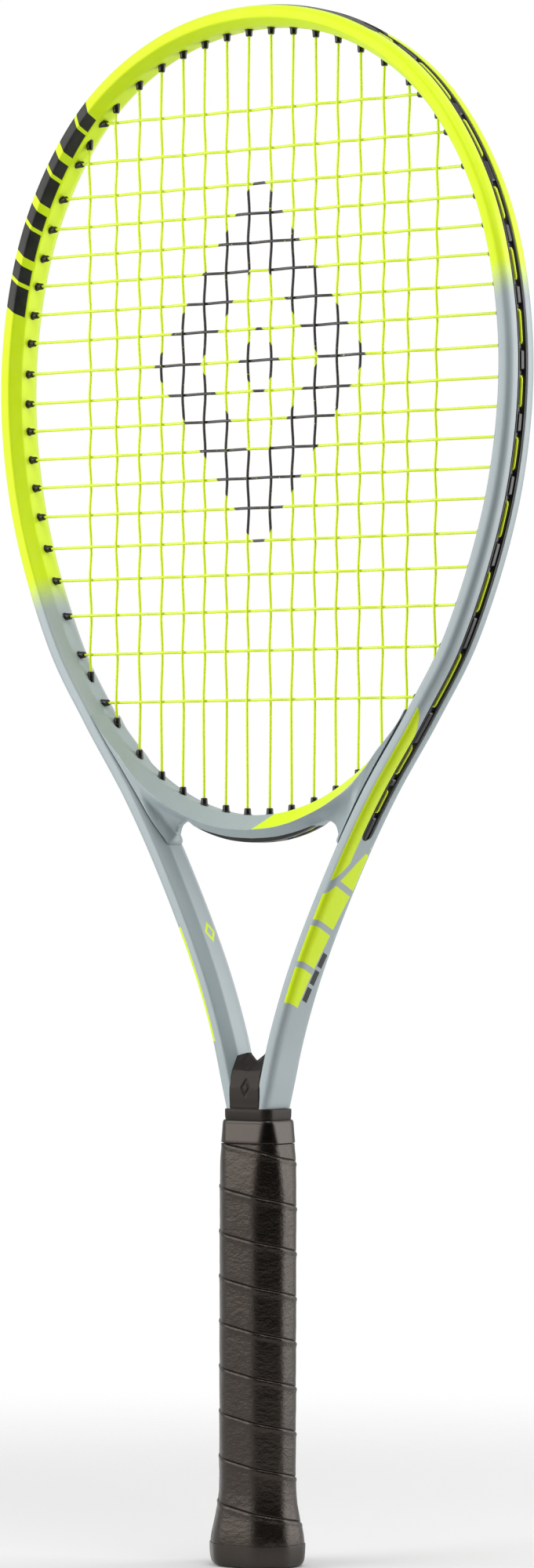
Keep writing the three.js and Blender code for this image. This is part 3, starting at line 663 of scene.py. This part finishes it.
BARREL = [[-1.5, 0.9], [-1.5, 1.6], [0.5, 1.6], [2.6, 1.46], [2.95, 1.34], [3.1, 1.1],
          [3.0, 0.9], [2.2, 0.78], [-1.2, 0.76]]
FLANGE = [[-0.8, 1.9], [0.25, 1.9], [0.45, 1.75], [0.5, 1.3]]


def barrel(parts, end):
    """A grommet barrel: a flange on the wall and a tube with a bore towards the strings."""
    parts.add(lathe(BARREL, end.wall, -end.towards), looped=True)
    parts.add(lathe(FLANGE, end.wall, end.wall - end.exit))


def outside_runs():
    """The stretches of the groove that hold a string, as [low, high] lengths."""
    found = []
    for pairs in (mains, crosses):
        for i, (first, second) in enumerate(zip(pairs, pairs[1:])):
            ends = first[i % 2].s, second[i % 2].s
            if None not in ends:
                found.append(sorted(ends))
    return sorted(found)


RUNS = outside_runs()


def pocket(s, low, high, near, far):
    """1 over a string's run and 0 beyond it, with its walls between near and far from it."""
    return float(smooth(s, low - far, low - near) * (1 - smooth(s, high + near, high + far)))


def channel(s, top, widths):
    """The inner half of a strip's section: a channel, filled by a bar between the pockets."""
    bar = min(1 - pocket(s, low, high, 2.2, 3.2) for low, high in RUNS)
    crown = STRIP_FLOOR + (top - 0.1 - STRIP_FLOOR) * bar
    shoulder = STRIP_FLOOR + (top - 0.4 - STRIP_FLOOR) * bar
    heights = [crown, crown, shoulder, STRIP_FLOOR, top - 0.35, top]
    return list(zip(heights, [0, *widths]))


def strip_section(s):
    """A side strip's section, which has rounded lips and narrows at the groove's end."""
    half = max(groove_half(s, STRIP_HALF), 0.35)
    scale = half / STRIP_HALF
    return closed_section([
        *channel(s, STRIP_TOP, [width * scale for width in (1.0, 1.55, 1.8, 2.1, 2.45)]),
        [STRIP_TOP - 0.1, 3.3 * scale], [STRIP_TOP - 0.6, half],
        [STRIP_BASE, half - 0.2], [STRIP_BASE, 0],
    ], [0.3, 0.3, 0.15, 0.25, 0.3, 0.4, 0.3, 0.2])


bumper_end = hairpin.crossing(0, BUMPER_HALF_SPAN, 0, 1)[0]


def bumper_section(s):
    """The guard's domed section, whose thin flanges lie on the tube beside the groove."""
    taper = smooth(bumper_end - abs(s), 0, 3)
    top = STRIP_TOP + 0.85 * taper
    reach = 3.75 + 2.4 * taper
    return closed_section([
        *channel(s, top, (1.0, 1.5, 1.75, 1.95, 2.25)), [top - 0.25 * taper, 3.2], [4.58, reach],
        [4.45, reach - 0.1], [4.35, 3.4], [STRIP_BASE, 3.2], [STRIP_BASE, 0],
    ], [0.3, 0.3, 0.15, 0.25, 0.3, 0.8, 0.05, 0.02, 0.2, 0.2])


def strip_lengths(low, high):
    """Lengths along a strip, closer together at the ends of its pockets."""
    marks = [low, high, *np.arange(low, high, 2.5)]
    for first, last in RUNS:
        for edge in (first - 2.7, last + 2.7):
            marks += (edge + np.linspace(-0.9, 0.9, 7)).tolist()
    for step in (0.15, 0.5, 1, 1.8):
        marks += [low + step, high - step]
    marks = np.unique(np.round([m for m in marks if low <= m <= high], 2))
    return marks[np.concatenate([[True], np.diff(marks) > 0.12])]


def strip_piece(name, node, rings, ends, material):
    parts = Parts()
    parts.add(rings)
    for end in ends:
        barrel(parts, end)
    parts.piece(name, material, "grommet_plastic", replaced=[node])


def groove_strip(name, node, low, high, section, material):
    """A strip between two lengths of the groove, with the barrels of the ends on it."""
    s = strip_lengths(low, high)
    rings = hairpin.place(s, np.array([section(value) for value in s]))
    ends = [end for pair in mains + crosses for end in pair
            if end.s is not None and low <= end.s <= high]
    strip_piece(name, node, rings, ends, material)


def throat_strip(material):
    """The crescent under the bridge, with its channel and barrels."""
    rings = []
    throat = [bottom for _, bottom in mains if bottom.s is None]
    pairs = [(throat[i].wall[0], throat[i + 1].wall[0]) for i in (0, 2, 4)]
    for x in THROAT_STRIP_SPAN * np.sin(np.linspace(-math.pi / 2, math.pi / 2, 70)):
        proud = throat_proud(x)
        depth = min(proud + 0.2, 2.3) * max(pocket(x, low, high, 1.6, 2.4) for low, high in pairs)
        section = closed_section(
            [[depth - proud, 0], [depth - proud, 1.1], [depth - proud + 0.05, 1.35],
             [-proud, 1.6], [-proud * 0.9, 3.9], [-proud * 0.2, 4.55], [1.6, 4.7], [1.6, 0]],
            [0.2, 0.1, 0.2, 0.5, 0.4, 0.2])
        out, y = section.T
        rings.append(np.stack([np.full(len(section), x), y, read(arch, x) + out], -1))
    strip_piece("grommets_throat", "grommet_strip_throat", rings, throat, material)


# ---- bridge


def rim_point(z):
    """A point of the moulding's rim, which crosses the tube's inner bevel downwards."""
    share = read(RIM_SHARE, z)
    out = INNER_BEVEL - TUBE_IN - INNER_BEVEL * share
    s = hairpin.crossing(1, z, out, 1)[-1]
    x, height = hairpin.offset(s, out - RIM_PROUD * 0.8)
    beam = TUBE_BEAM - (TUBE_BEAM - INNER_FLAT) * share + RIM_PROUD * 0.45
    return [float(x), float(height), beam]


RIM = [rim_point(z) for z in RIM_Z]
GUIDE_STEPS = 9
SLOPE_SHARES = (0, 0.04, 0.12, 0.25, 0.42, 0.6, 0.76, 0.88, 0.96)
FACE_SHARES = (0, 0.04, 0.1, 0.18, 0.27, 0.37, 0.48, 0.6, 0.71, 0.81, 0.89, 0.95, 0.98, 1)


def bridge_grid():
    """Front points of one half of the bridge, from the middle to the tip, row by row."""
    top = centripetal(OVAL_LINE, GUIDE_STEPS)
    ridge = centripetal(RIDGE_LINE, GUIDE_STEPS)
    free = centripetal(FREE_LINE + RIM, GUIDE_STEPS)
    rim = centripetal(RIM, 12)
    share = np.linspace(0, 1, len(top))
    depth_top = 4.6 - 0.2 * smooth(share, 0.6, 1)
    depth_ridge = 10.35 + 0.35 * smooth(share, 0.45, 0.8)
    rows = []
    for k in SLOPE_SHARES:
        flat = top + (ridge - top) * k
        depth = depth_top + (depth_ridge - depth_top) * k
        rows.append(lifted(flat, depth))
    for k in FACE_SHARES:
        flat = ridge + (free[:, :2] - ridge) * k
        depth = depth_ridge + (free[:, 2] - depth_ridge) * k
        to_ridge = np.linalg.norm(flat[:, None] - ridge[None], axis=2).min(1)
        to_rim = np.linalg.norm(flat[:, None] - rim[None, :, :2], axis=2).min(1)
        low = 1 - smooth(flat[:, 1], 330, 338.5)
        deep = POCKET_DEPTH * smooth(to_ridge, 0.4, 4.4) * smooth(to_rim, 0.7, 3.8) * low
        depth = depth - deep * smooth(flat[:, 0], 30, 38)
        rows.append(lifted(flat, depth))
    grid = np.array(rows)
    grid[1:-1, :, 1] = (grid[:-2, :, 1] + 2 * grid[1:-1, :, 1] + grid[2:, :, 1]) / 4
    return grid


def throat_bridge(material):
    right = bridge_grid()
    left = (right * [-1, 1, 1])[:, :0:-1]
    back = np.hstack([left, right])
    rings = np.vstack([back * [1, -1, 1], back[::-1]]).transpose(1, 0, 2)
    rows = np.arange(len(right))
    ring_piece(
        "bridge", rings, material, "bridge_paint", replaced=["throat_bridge"], sharp=60,
        band=np.tile(np.concatenate([rows, rows[::-1]]), len(rings)))


def bridge_seam(material):
    """A dark tube along the moulding's rim and the tube, front and back: painted shadow of the gap
    between them, and a dark glue line.
    """
    parts = Parts()
    x, z, depth = centripetal(RIM[:-1], 10).T
    for side in (-1, 1):
        for face in (-1, 1):
            path = np.stack([side * (x + 0.25), face * (depth - 0.62), z], -1)
            parts.add(tube_rings(path, 0.15, 8))
    parts.piece("bridge_joint_shadow", material, "grommet_plastic", sharp=40)


# ---- handle


def octagon(shape, radius, offset=0.0):
    """Points and normals round an octagon with rounded corners, side by side in step."""
    x, y, diagonal = (value + offset for value in shape)
    reach = diagonal * math.sqrt(2)
    u, v = reach - y, reach - x
    corners = np.array(
        [[x, -v], [x, v], [u, y], [-u, y], [-x, v], [-x, -v], [-u, -y], [u, -y]])
    bends = [bend(corners[k - 1], corners[k], corners[(k + 1) % 8], radius, 6, 0.4)
             for k in range(8)]
    share = np.linspace(0, 1, 14)[1:-1, None]
    points = []
    for k, bent in enumerate(bends):
        end, entry = bent[-1], bends[(k + 1) % 8][0]
        points += [bent, end + (entry - end) * share]
    points = np.vstack(points)
    ahead = np.roll(points, -1, axis=0) - np.roll(points, 1, axis=0)
    normals = np.stack([ahead[:, 1], -ahead[:, 0]], -1)
    normals /= np.linalg.norm(normals, axis=1, keepdims=True)
    return points, normals





def wander(a, b, seed):
    """A smooth, repeatable unevenness between -1 and 1 over two coordinates."""
    waves = [(0.9, 1.7, 0.3), (2.1, -1.3, 1.1), (-1.6, 3.1, 2.2), (3.7, 2.3, 4.0), (5.1, -4.3, 5.2)]
    total = sum(np.sin(p * a + q * b + r + seed * (i + 1.7)) / (1 + 0.35 * i)
                for i, (p, q, r) in enumerate(waves))
    return total / 3


WRAPS = 12
WRAP_SHARES = np.array([0, 0.006, 0.014, 0.025, 0.04, 0.065, 0.11, 0.18, 0.27, 0.37, 0.48, 0.6,
                        0.72, 0.82, 0.89, 0.93, 0.955, 0.975, 0.99])


def grip_tape(material):
    """The tape's wraps: rows run along the helix, so each seam is a clean line."""
    low, normals = octagon(GRIP, 4)
    high, high_normals = octagon(SHOULDER, 4)
    count = len(low)
    steps = np.linalg.norm(np.roll(low, -1, axis=0) - low, axis=1)
    turn = np.concatenate([[0], np.cumsum(steps)[:-1]]) / steps.sum()
    facing = np.arctan2(low[:, 1], low[:, 0])
    start = int(np.argmin(abs(facing - SEAM_FACING)))
    drop = ((turn - turn[start]) % 1) * TAPE_PITCH
    across = WRAP_SHARES
    phases = np.concatenate([across + k for k in range(WRAPS)])
    base = SEAM_Z - (WRAPS - 2) * TAPE_PITCH
    rows = []
    for phase in phases:
        share = phase % 1
        edge = math.exp(-(share / 0.011) ** 2) + math.exp(-((1 - share) / 0.011) ** 2)
        ridge = math.exp(-((1 - share - 0.06) / 0.04) ** 2)
        z = base + phase * TAPE_PITCH - drop
        soft = (0.07 * wander(z / 6, np.sin(facing) * 2.2, 1)
                + 0.04 * wander(z / 2.3, np.cos(facing) * 5, 2))
        offset = -0.3 + 0.3 * ridge - 0.38 * edge + soft + 0.14 * (share - 0.5)
        offset = offset - 0.45 * smooth(z, GRIP_TOP_Z - 7, GRIP_TOP_Z)
        k = smooth(z, *SHOULDER_Z)[:, None]
        flat = low + (high - low) * k
        facet = normals + (high_normals - normals) * k
        flat = flat * read(FLARE, z)[:, None] + facet * offset[:, None]
        rows.append(np.column_stack([flat, z]))
    rows = np.array(rows)
    rows_per_turn = len(across)
    shell = bmesh.new()
    vertices = [shell.verts.new(p) for p in rows.reshape(-1, 3)]
    for ring in range(rows_per_turn, len(rows) - 1):
        for i in range(count):
            j = (i + 1) % count
            shift = rows_per_turn if j == start else 0
            low_left, low_right = ring * count + i, (ring - shift) * count + j
            corners = (low_left, low_right, low_right + count, low_left + count)
            shell.faces.new([vertices[k] for k in corners])
    for level, direction in ((GRIP_TOP_Z, 1), (RIM_TOP_Z, -1)):
        bmesh.ops.bisect_plane(
            shell, geom=shell.verts[:] + shell.edges[:] + shell.faces[:], dist=1e-5,
            plane_co=(0, 0, level), plane_no=(0, 0, direction), clear_outer=True)
    loose = [v for v in shell.verts if not v.link_faces]
    bmesh.ops.delete(shell, geom=loose, context="VERTS")
    for level in (GRIP_TOP_Z, RIM_TOP_Z):
        rim = [e for e in shell.edges if e.is_boundary
               and all(abs(v.co.z - level) < 1e-3 for v in e.verts)]
        made = bmesh.ops.extrude_edge_only(shell, edges=rim)
        moved = [v for v in made["geom"] if isinstance(v, bmesh.types.BMVert)]
        for v in moved:
            shrink = 1 - 1.4 / math.hypot(v.co.x, v.co.y)
            v.co.x *= shrink
            v.co.y *= shrink
        edges = [e for e in made["geom"] if isinstance(e, bmesh.types.BMEdge)]
        bmesh.ops.holes_fill(shell, edges=edges)
    shell.verts.index_update()
    found = [tuple(v.co) for v in shell.verts]
    polygons = [[v.index for v in f.verts] for f in shell.faces]
    shell.free()
    piece = new_piece(
        "grip_wrap", found, polygons, material, "grip_leather", replaced=["grip_tape"])


def stacked(levels, shape, radius):
    """Rings of an octagon at [z, offset] levels, or [z, offset, scale] ones."""
    rings = []
    for z, offset, scale in [(*level, 1)[:3] for level in levels]:
        points, _ = octagon(shape, radius, offset)
        rings.append(np.column_stack([points * scale, np.full(len(points), z)]))
    return rings


BUTT_LEVELS = (9.6, 8.5, 7, 5.5, 4, 3, 2.1, 1.4, 0.9, 0.5, 0.2, 0.05)


def butt_cap(material):
    """The cap's rounded rim and end face, with the opening for the door."""
    outer = [[z, 0, read(FLARE, z) - 0.004] for z in BUTT_LEVELS]
    rings = stacked([[9.6, -1.6, 1.22], [9.75, -0.6, 1.22], *outer, [0, -0.5, 1.09]], GRIP, 3)
    rings += stacked([[0, 3.4], [0, 0.75], [0.12, 0.45], [0.5, 0.3], [2.6, 0.3]], DOOR, 1.6)
    ring_piece("butt_end", rings, material, "butt_rubber", replaced=["butt_cap"])


def butt_door(material):
    """The trap door, with a raised border round a finger recess."""
    rings = stacked(
        [[2.6, 0], [0.75, 0], [0.5, -0.15], [0.42, -0.4], [0.42, -1.5], [0.62, -1.75],
         [0.8, -1.9], [0.8, -3.9], [1.2, -4.2], [1.35, -4.5]],
        DOOR, 1.3)
    ring_piece("trap_door", rings, material, "butt_rubber", replaced=["butt_door"])


COLLAR_LINE = [[184.75, -1.6], [184.62, -0.7], [184.75, -0.1], [185.2, 0.05], [186.5, 0.02],
               [189, 0], [191.5, 0], [193, 0], [193.9, -0.06], [194.5, -0.3], [194.82, -0.75],
               [194.85, -1.2], [194.4, -1.5]]


def collar(material):
    """The rubber collar, which tapers from the grip's section to the ring's."""
    rings = []
    low, low_normals = octagon(SHOULDER, 3, -0.6)
    high, high_normals = octagon(COLLAR_LIP, 3)
    for z, offset in COLLAR_LINE:
        k = float(np.clip((z - 184.6) / 9.4, 0, 1))
        flat = low + (high - low) * k
        flat = flat + (low_normals + (high_normals - low_normals) * k) * offset
        rings.append(np.column_stack([flat, np.full(len(flat), z)]))
    rings += stacked([[193.5, 0.3], [187, 0.3]], RING, 2)
    ring_piece("collar", rings, material, "collar_rubber", looped=True,
               replaced=["rubber_collar"])


# ---- throat insert


INSERT_FOOT_Z = 199.2
INSERT_HALF = 8.6
INSERT_FACE = [[199, 10.45], [209, 10.5], [214, 9.5], [216.6, 8.5]]
INSERT_TOP = [[0, 219.5], [0.4, 219.7], [4.5, 224], [5.2, 224.1], [7.8, 222.8], [8.8, 221.8]]
INSERT_RIDGE = [[0, 0.7], [5.2, 0.9], [7.8, 4.8], [8.8, 5.6]]


def throat_insert(material):
    """The rubber wedge in the crotch, whose front swells over the tubes, and its ring."""
    parts = Parts()
    parts.add(stacked(
        [[193.6, -0.6], [194.6, -0.55], [195.2, -0.4], [196.2, -0.25], [198, -0.2],
         [199.2, -0.2], [199.55, -0.35], [199.6, -1.5]],
        RING, 1.8))
    front = []
    bevel_foot = INSERT_FACE[-1][0]
    for t in np.linspace(0, 1, 46):
        row = []
        for across in np.linspace(-1, 1, 43):
            x = across * INSERT_HALF
            top = read(INSERT_TOP, abs(x))
            z = INSERT_FOOT_Z + (top - INSERT_FOOT_Z) * t
            edge = 0.7 * smooth(abs(across), 0.86, 1) ** 2
            swell = 0.15 * smooth(z, 201, 205) * (1 - smooth(z, 207, 212))
            bevel = np.clip((z - bevel_foot) / (top - bevel_foot), 0, 1)
            ridge = read(INSERT_RIDGE, abs(x))
            mark = abs(x - 0.6) / 2.6 + abs(z - 209) / 4.4
            stamped = 0.4 * (smooth(mark, 0.5, 0.62) - smooth(mark, 0.88, 1.0))
            lip = 0.4 * (1 - smooth(z, INSERT_FOOT_Z, 200.4))
            face = read(INSERT_FACE, z) - edge + swell - stamped - lip
            row.append([x, face + (ridge - face) * bevel, z])
        front.append(row)
    front = np.array(front)
    back = front[:, ::-1].copy()
    front[..., 1] *= -1
    parts.add(np.concatenate([front, back], axis=1))
    parts.piece(
        "crotch_insert", material, "insert_rubber", replaced=["throat_insert"], sharp=38)


# ---- materials

LIME = (0.73, 0.97, 0.001)
GREY = (0.37, 0.44, 0.455)
INK = (0.004, 0.004, 0.004)
LACQUER = {"Specular_IOR_Level": 0.62, "Coat_Weight": 0.1}
WARM_SHEEN = {"Specular_IOR_Level": 0.6, "Specular_Tint": (1.0, 0.86, 0.76)}


def length_at(z):
    """The length from the tip at which the tube's centreline passes a height."""
    return float(hairpin.crossing(1, z, 0, 1)[-1])


def paint_finish(graph, colour, lime, ink=0.0):
    """The satin lacquer that the frame and the bridge share; the sheen takes on the colour."""
    sheen = graph.mix(lime, (1.0, 1.0, 1.0), (1.0, 1.0, 0.06))
    graph.set("Specular Tint", graph.mix(ink, sheen, (0.3, 0.29, 0.25)))
    cloud = graph.spread(graph.noise(9, 3), 0, 0.10)
    graph.set("Base Color", graph.mix(cloud, colour, graph.mix(0.5, colour, (0.9, 0.95, 1.0))))
    graph.gloss(graph.noise(2.2, 4), 0.30, 0.42)
    graph.bump(graph.noise(2.5, 2), 0.012)


def frame_paint():
    graph = Graph("frame_lacquer", GREY, 0.36, Coat_Roughness=0.28, **LACQUER)
    add, times, size = graph.add, graph.times, graph.size
    past, short, within = graph.past, graph.short, graph.within
    x, y, z = graph.axes
    along = graph.attribute("along")
    out = graph.attribute("out")
    run = size(along)
    front_left = past(times(along, y), 0)
    front_right = graph.minus(1, front_left)
    depth = size(y)

    # The head's colour fades to the shafts' on a slant.
    slant = add(z, times(x, -0.518))
    grain = graph.spread(graph.noise(1.1, 4, 0.7), -3, 3)
    head = past(add(slant, grain), 487.5, 10)

    # Slanted black blocks on the front of the left limb and the back of the right one.
    first, last = length_at(645), length_at(553)
    blocks = add(run, times(out, 0.55), -first)
    share = graph.repeat(blocks, (last - first) / 4)
    bars = graph.minus(within(share, 0.02, 0.86, 0.006), within(share, 0.30, 0.37, 0.006))
    face = times(past(depth, 4.9), within(out, -4.1, 3.4))
    black = times(bars, face, front_left, within(blocks, 0, last - first))

    # A panel beside the groove, then slanted blocks down the outside of the shaft, then
    # three small black ones beside the lowest of them.
    forward = times(graph.math("SIGN", along), y)
    lean = add(z, times(forward, -1.15), -10)
    side = past(out, 2.5)
    high = add(z, times(forward, 1.9))
    panel = times(side, front_right, past(depth, 3.9), past(lean, 301.5), short(high, 355))
    fall = add(z, times(forward, 0.35))
    limit = add(times(add(z, -262), 0.2), 0.4)
    step = graph.repeat(add(fall, -243), 18.2)
    inside = past(graph.minus(limit, forward), 0)
    stripes = times(past(out, 1.6), inside, past(fall, 243), short(lean, 296),
                    short(forward, 7.6), within(step, 0.0, 0.86, 0.008))
    edge = times(past(out, 2.0), front_left, past(depth, 9.3), within(z, 229, 279))
    tally_step = graph.repeat(add(fall, -247), 8)
    tally = times(
        side, past(along, 0), within(fall, 247, 271),
        within(tally_step, 0.0, 0.8, 0.012),
        within(graph.minus(forward, limit), 1.0, 5.2))

    # A small diamond on the left shaft.
    badge = add(graph.over(size(add(run, -length_at(275))), 5),
                graph.over(size(add(y, -0.6)), 3.6))
    diamond = times(within(badge, 0.55, 1.0, 0.04), short(along, 0), short(out, -4.2))

    lime = graph.either(head, panel, stripes, edge, diamond)
    ink = graph.either(black, tally)
    paint_finish(graph, graph.mix(ink, graph.mix(lime, GREY, LIME), INK), lime, ink)
    return graph.material


def bridge_paint():
    graph = Graph("bridge_lacquer", GREY, 0.38, Coat_Roughness=0.3, **LACQUER)
    x, y, z = graph.axes
    band = graph.attribute("band")
    depth = graph.size(y)
    rising = graph.add(x, graph.times(depth, 1.6))
    wedge = graph.times(
        graph.short(band, 8.3, 0.3), graph.past(rising, 19.5), graph.past(depth, 4.3),
        graph.past(x, 0))
    paint_finish(graph, graph.mix(wedge, GREY, LIME), wedge)
    return graph.material


def string_material():
    graph = Graph("string_filament", LIME, 0.34, Coat_Weight=0.4, Coat_Roughness=0.2)
    x, y, z = graph.axes
    across = graph.over(graph.size(x), 58)
    upward = graph.over(graph.size(graph.add(z, -528)), 84)
    rhomb = graph.add(across, upward, graph.spread(graph.noise(3, 2), -0.012, 0.012))
    stencil = graph.within(rhomb, 0.56, 1.0, 0.006)
    centre = graph.short(rhomb, 0.2, 0.006)
    worn = graph.past(graph.noise(1.4, 3), 0.30, 0.05)
    ink = graph.times(graph.either(stencil, centre), worn)
    fibre = graph.spread(graph.noise(0.8, 4, 0.6), 0.0, 0.35)
    tint = graph.mix(fibre, (0.80, 0.98, 0.004), (0.72, 0.93, 0.002))
    graph.set("Base Color", graph.mix(ink, tint, (0.022, 0.017, 0.015)))
    graph.gloss(graph.noise(0.5, 3), 0.28, 0.42)
    twist = graph.add(graph.times(graph.attribute("run"), 5.2), graph.times(y, 4))
    graph.bump(graph.math("SINE", twist), 0.008)
    return graph.material


def moulded(name, colour, low, high, grain, depth, **settings):
    """A moulded plastic or rubber with a fine grain and uneven gloss."""
    graph = Graph(name, colour, (low + high) / 2, **settings)
    lighter = tuple(min(channel * 1.6 + 0.002, 1) for channel in colour)
    graph.set("Base Color", graph.mix(graph.noise(grain * 6, 4), colour, lighter))
    graph.gloss(graph.noise(grain * 2, 4), low, high)
    graph.bump(graph.noise(grain, 3), depth)
    return graph.material


def grip_leather():
    """Embossed synthetic leather: fine creases across a pebbled, glossy skin."""
    graph = Graph("grip_skin", (0.003, 0.0025, 0.002), 0.3, Specular_IOR_Level=0.62,
                  Specular_Tint=(1.0, 0.84, 0.72))
    crease = graph.noise(3.4, 5, 0.6, stretch=(1, 1, 2.0))
    pebble = graph.times(graph.cells(0.8), 0.12)
    broad = graph.times(graph.noise(12, 3), 1.2)
    graph.bump(graph.add(pebble, crease, broad), 0.28)
    # Painted shade: the colour follows the crease height, darker in the low folds of the creases.
    graph.set("Base Color", graph.mix(crease, (0.0015, 0.0012, 0.001), (0.005, 0.004, 0.003)))
    graph.gloss(graph.noise(2.4, 4), 0.24, 0.38)
    return graph.material


def cast_foam():
    graph = Graph("foam_cells", (0.05, 0.05, 0.05), 0.95)
    cell = graph.cells(0.9)
    # Painted shade: the cell pits, low in the bump, are darker than the cell walls.
    graph.set("Base Color", graph.mix(cell, (0.03, 0.03, 0.03), (0.09, 0.09, 0.09)))
    graph.bump(cell, 0.3)
    return graph.material


def steel_wire():
    graph = Graph("staple_wire", (0.6, 0.6, 0.62), 0.3, Metallic=1.0)
    brushed = graph.noise(0.4, 3, stretch=(0.2, 1, 1))
    graph.gloss(brushed, 0.22, 0.4)
    graph.bump(brushed, 0.01)
    return graph.material


def dress(nodes, material):
    """Gives CAD nodes that stay in view, or inside, their finished material."""
    for node in nodes:
        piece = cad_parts[node]
        piece.data.materials.clear()
        piece.data.materials.append(material)


# ---- the racket


def build():
    frame_tube(frame_paint())
    throat_bridge(bridge_paint())
    # The joint's dark tube is painted shadow of the gap at the bridge's rim, with a dark glue line.
    bridge_seam(moulded("joint_shadow", (0.012, 0.013, 0.015), 0.6, 0.8, 0.4, 0.01))
    plastic = moulded("grommet_nylon", (0.006, 0.005, 0.005), 0.24, 0.36, 0.5, 0.015)
    groove_strip("bumper", "bumper_guard", -bumper_end, bumper_end, bumper_section, plastic)
    first, last = bumper_end + 0.3, groove_end - 0.25
    groove_strip("grommets_left", "grommet_strip_left", -last, -first, strip_section, plastic)
    groove_strip("grommets_right", "grommet_strip_right", first, last, strip_section, plastic)
    throat_strip(plastic)
    string_bed(string_material())
    throat_insert(moulded("insert_compound", (0.005, 0.004, 0.0035), 0.42, 0.56, 0.45, 0.05,
                          Specular_IOR_Level=0.36, Specular_Tint=(1.0, 0.88, 0.78)))
    collar(moulded("collar_compound", (0.002, 0.0016, 0.0014), 0.24, 0.34, 0.5, 0.02, **WARM_SHEEN))
    grip_tape(grip_leather())
    butt = moulded("butt_compound", (0.009, 0.0075, 0.0065), 0.24, 0.36, 1.2, 0.06, **WARM_SHEEN)
    butt_cap(butt)
    butt_door(butt)
    dress(["pallet_front", "pallet_back"],
          moulded("pallet_foamed", (0.03, 0.03, 0.03), 0.6, 0.75, 1.2, 0.05))
    dress(["foam_plug_left", "foam_plug_right"], cast_foam())
    dress(["finishing_tape"],
          moulded("tape_vinyl", (0.02, 0.02, 0.02), 0.35, 0.45, 0.8, 0.02))
    dress(["staple_front", "staple_back"], steel_wire())


# ---- camera, floor and light

VIEW_AZIMUTH = math.radians(36)
VIEW_DISTANCE = 2.4934
VIEW_HEIGHT = 0.3084
LENS = 130.26
AIM_RIGHT = math.radians(0.0831)
AIM_UP = math.radians(0.7748)
ROLL = math.radians(0.1025)
FLOOR_RADIUS = 0.86
FLOOR_DROP = 0.0004
DARK_HEADING = math.radians(56)


def make_camera():
    """A long lens to the right of the front, a little below the middle of the racket."""
    data = bpy.data.cameras.new("camera")
    data.lens = LENS
    data.clip_start = 0.05
    data.clip_end = 100
    camera = put("camera", data)
    x, y = math.sin(VIEW_AZIMUTH), -math.cos(VIEW_AZIMUTH)
    camera.location = (VIEW_DISTANCE * x, VIEW_DISTANCE * y, VIEW_HEIGHT)
    heading = VIEW_AZIMUTH - AIM_RIGHT
    turn = Matrix.Rotation(heading, 4, "Z") @ Matrix.Rotation(math.pi / 2 + AIM_UP, 4, "X")
    camera.rotation_euler = (turn @ Matrix.Rotation(ROLL, 4, "Z")).to_euler()
    bpy.context.scene.camera = camera


def make_floor():
    """A pale round floor whose edge melts into the backdrop."""
    graph = Graph("floor_paper", (0.86, 0.86, 0.86), 0.9)
    x, y, z = graph.axes
    reach = graph.math("SQRT", graph.add(graph.times(x, x), graph.times(y, y)))
    fade = graph.past(reach, 520, 330)
    graph.blend(fade, graph.shader, graph.node("ShaderNodeBsdfTransparent"), "OUTPUT_MATERIAL")
    mesh = bpy.data.meshes.new("floor")
    rim = [(FLOOR_RADIUS * math.cos(a), FLOOR_RADIUS * math.sin(a), -FLOOR_DROP)
           for a in np.linspace(0, 2 * math.pi, 64, endpoint=False)]
    mesh.from_pydata(rim, [], [tuple(range(64))])
    mesh.materials.append(graph.material)
    floor = put("floor", mesh)


def softbox(name, azimuth, reach, height, aim, width, tall, power):
    """A large soft light at a compass direction round the racket, turned to a height on it."""
    data = bpy.data.lights.new(name, "AREA")
    data.shape = "RECTANGLE"
    data.size = width
    data.size_y = tall
    data.energy = power
    light = put(name, data)
    a = math.radians(azimuth)
    light.location = (math.sin(a) * reach, -math.cos(a) * reach, height)
    back = light.location - Vector((0, 0, aim))
    light.rotation_mode = "QUATERNION"
    light.rotation_quaternion = back.to_track_quat("Z", "Y")
    light.visible_camera = False


def make_light():
    """A white studio: bright on both sides and behind, darker round the lens."""
    world = bpy.data.worlds.new("studio")
    bpy.context.scene.world = world
    sky = Nodes(world)
    place = sky.node("ShaderNodeTexCoord").outputs["Generated"]
    darkest = (math.sin(DARK_HEADING), -math.cos(DARK_HEADING), 0.0)
    heading = sky.node("ShaderNodeVectorMath", {0: place, 1: darkest}, operation="DOT_PRODUCT")
    ramp = sky.node(
        "ShaderNodeMapRange",
        {"Value": heading.outputs["Value"], "From Min": 0.28, "From Max": 0.72,
         "To Min": 0.68, "To Max": 0.0},
        interpolation_type="SMOOTHSTEP")
    lit = sky.find("BACKGROUND")
    sky.feed(lit.inputs["Color"], (1, 1, 1))
    sky.feed(lit.inputs["Strength"], ramp.outputs[0])
    plain = sky.node("ShaderNodeBackground", {"Color": (1, 1, 1), "Strength": 1.0})
    seen = sky.node("ShaderNodeLightPath").outputs["Is Camera Ray"]
    sky.blend(seen, lit, plain, "OUTPUT_WORLD")
    softbox("left_softbox", -40, 1.0, 0.66, 0.5, 0.8, 1.0, 7.0)
    softbox("right_softbox", 134, 0.95, 0.46, 0.36, 0.6, 1.0, 5.2)
    softbox("top_softbox", 66, 0.5, 1.05, 0.5, 0.6, 0.6, 3.2)


make_camera()
make_floor()
make_light()
build()
bpy.context.scene.view_settings.view_transform = "Standard"
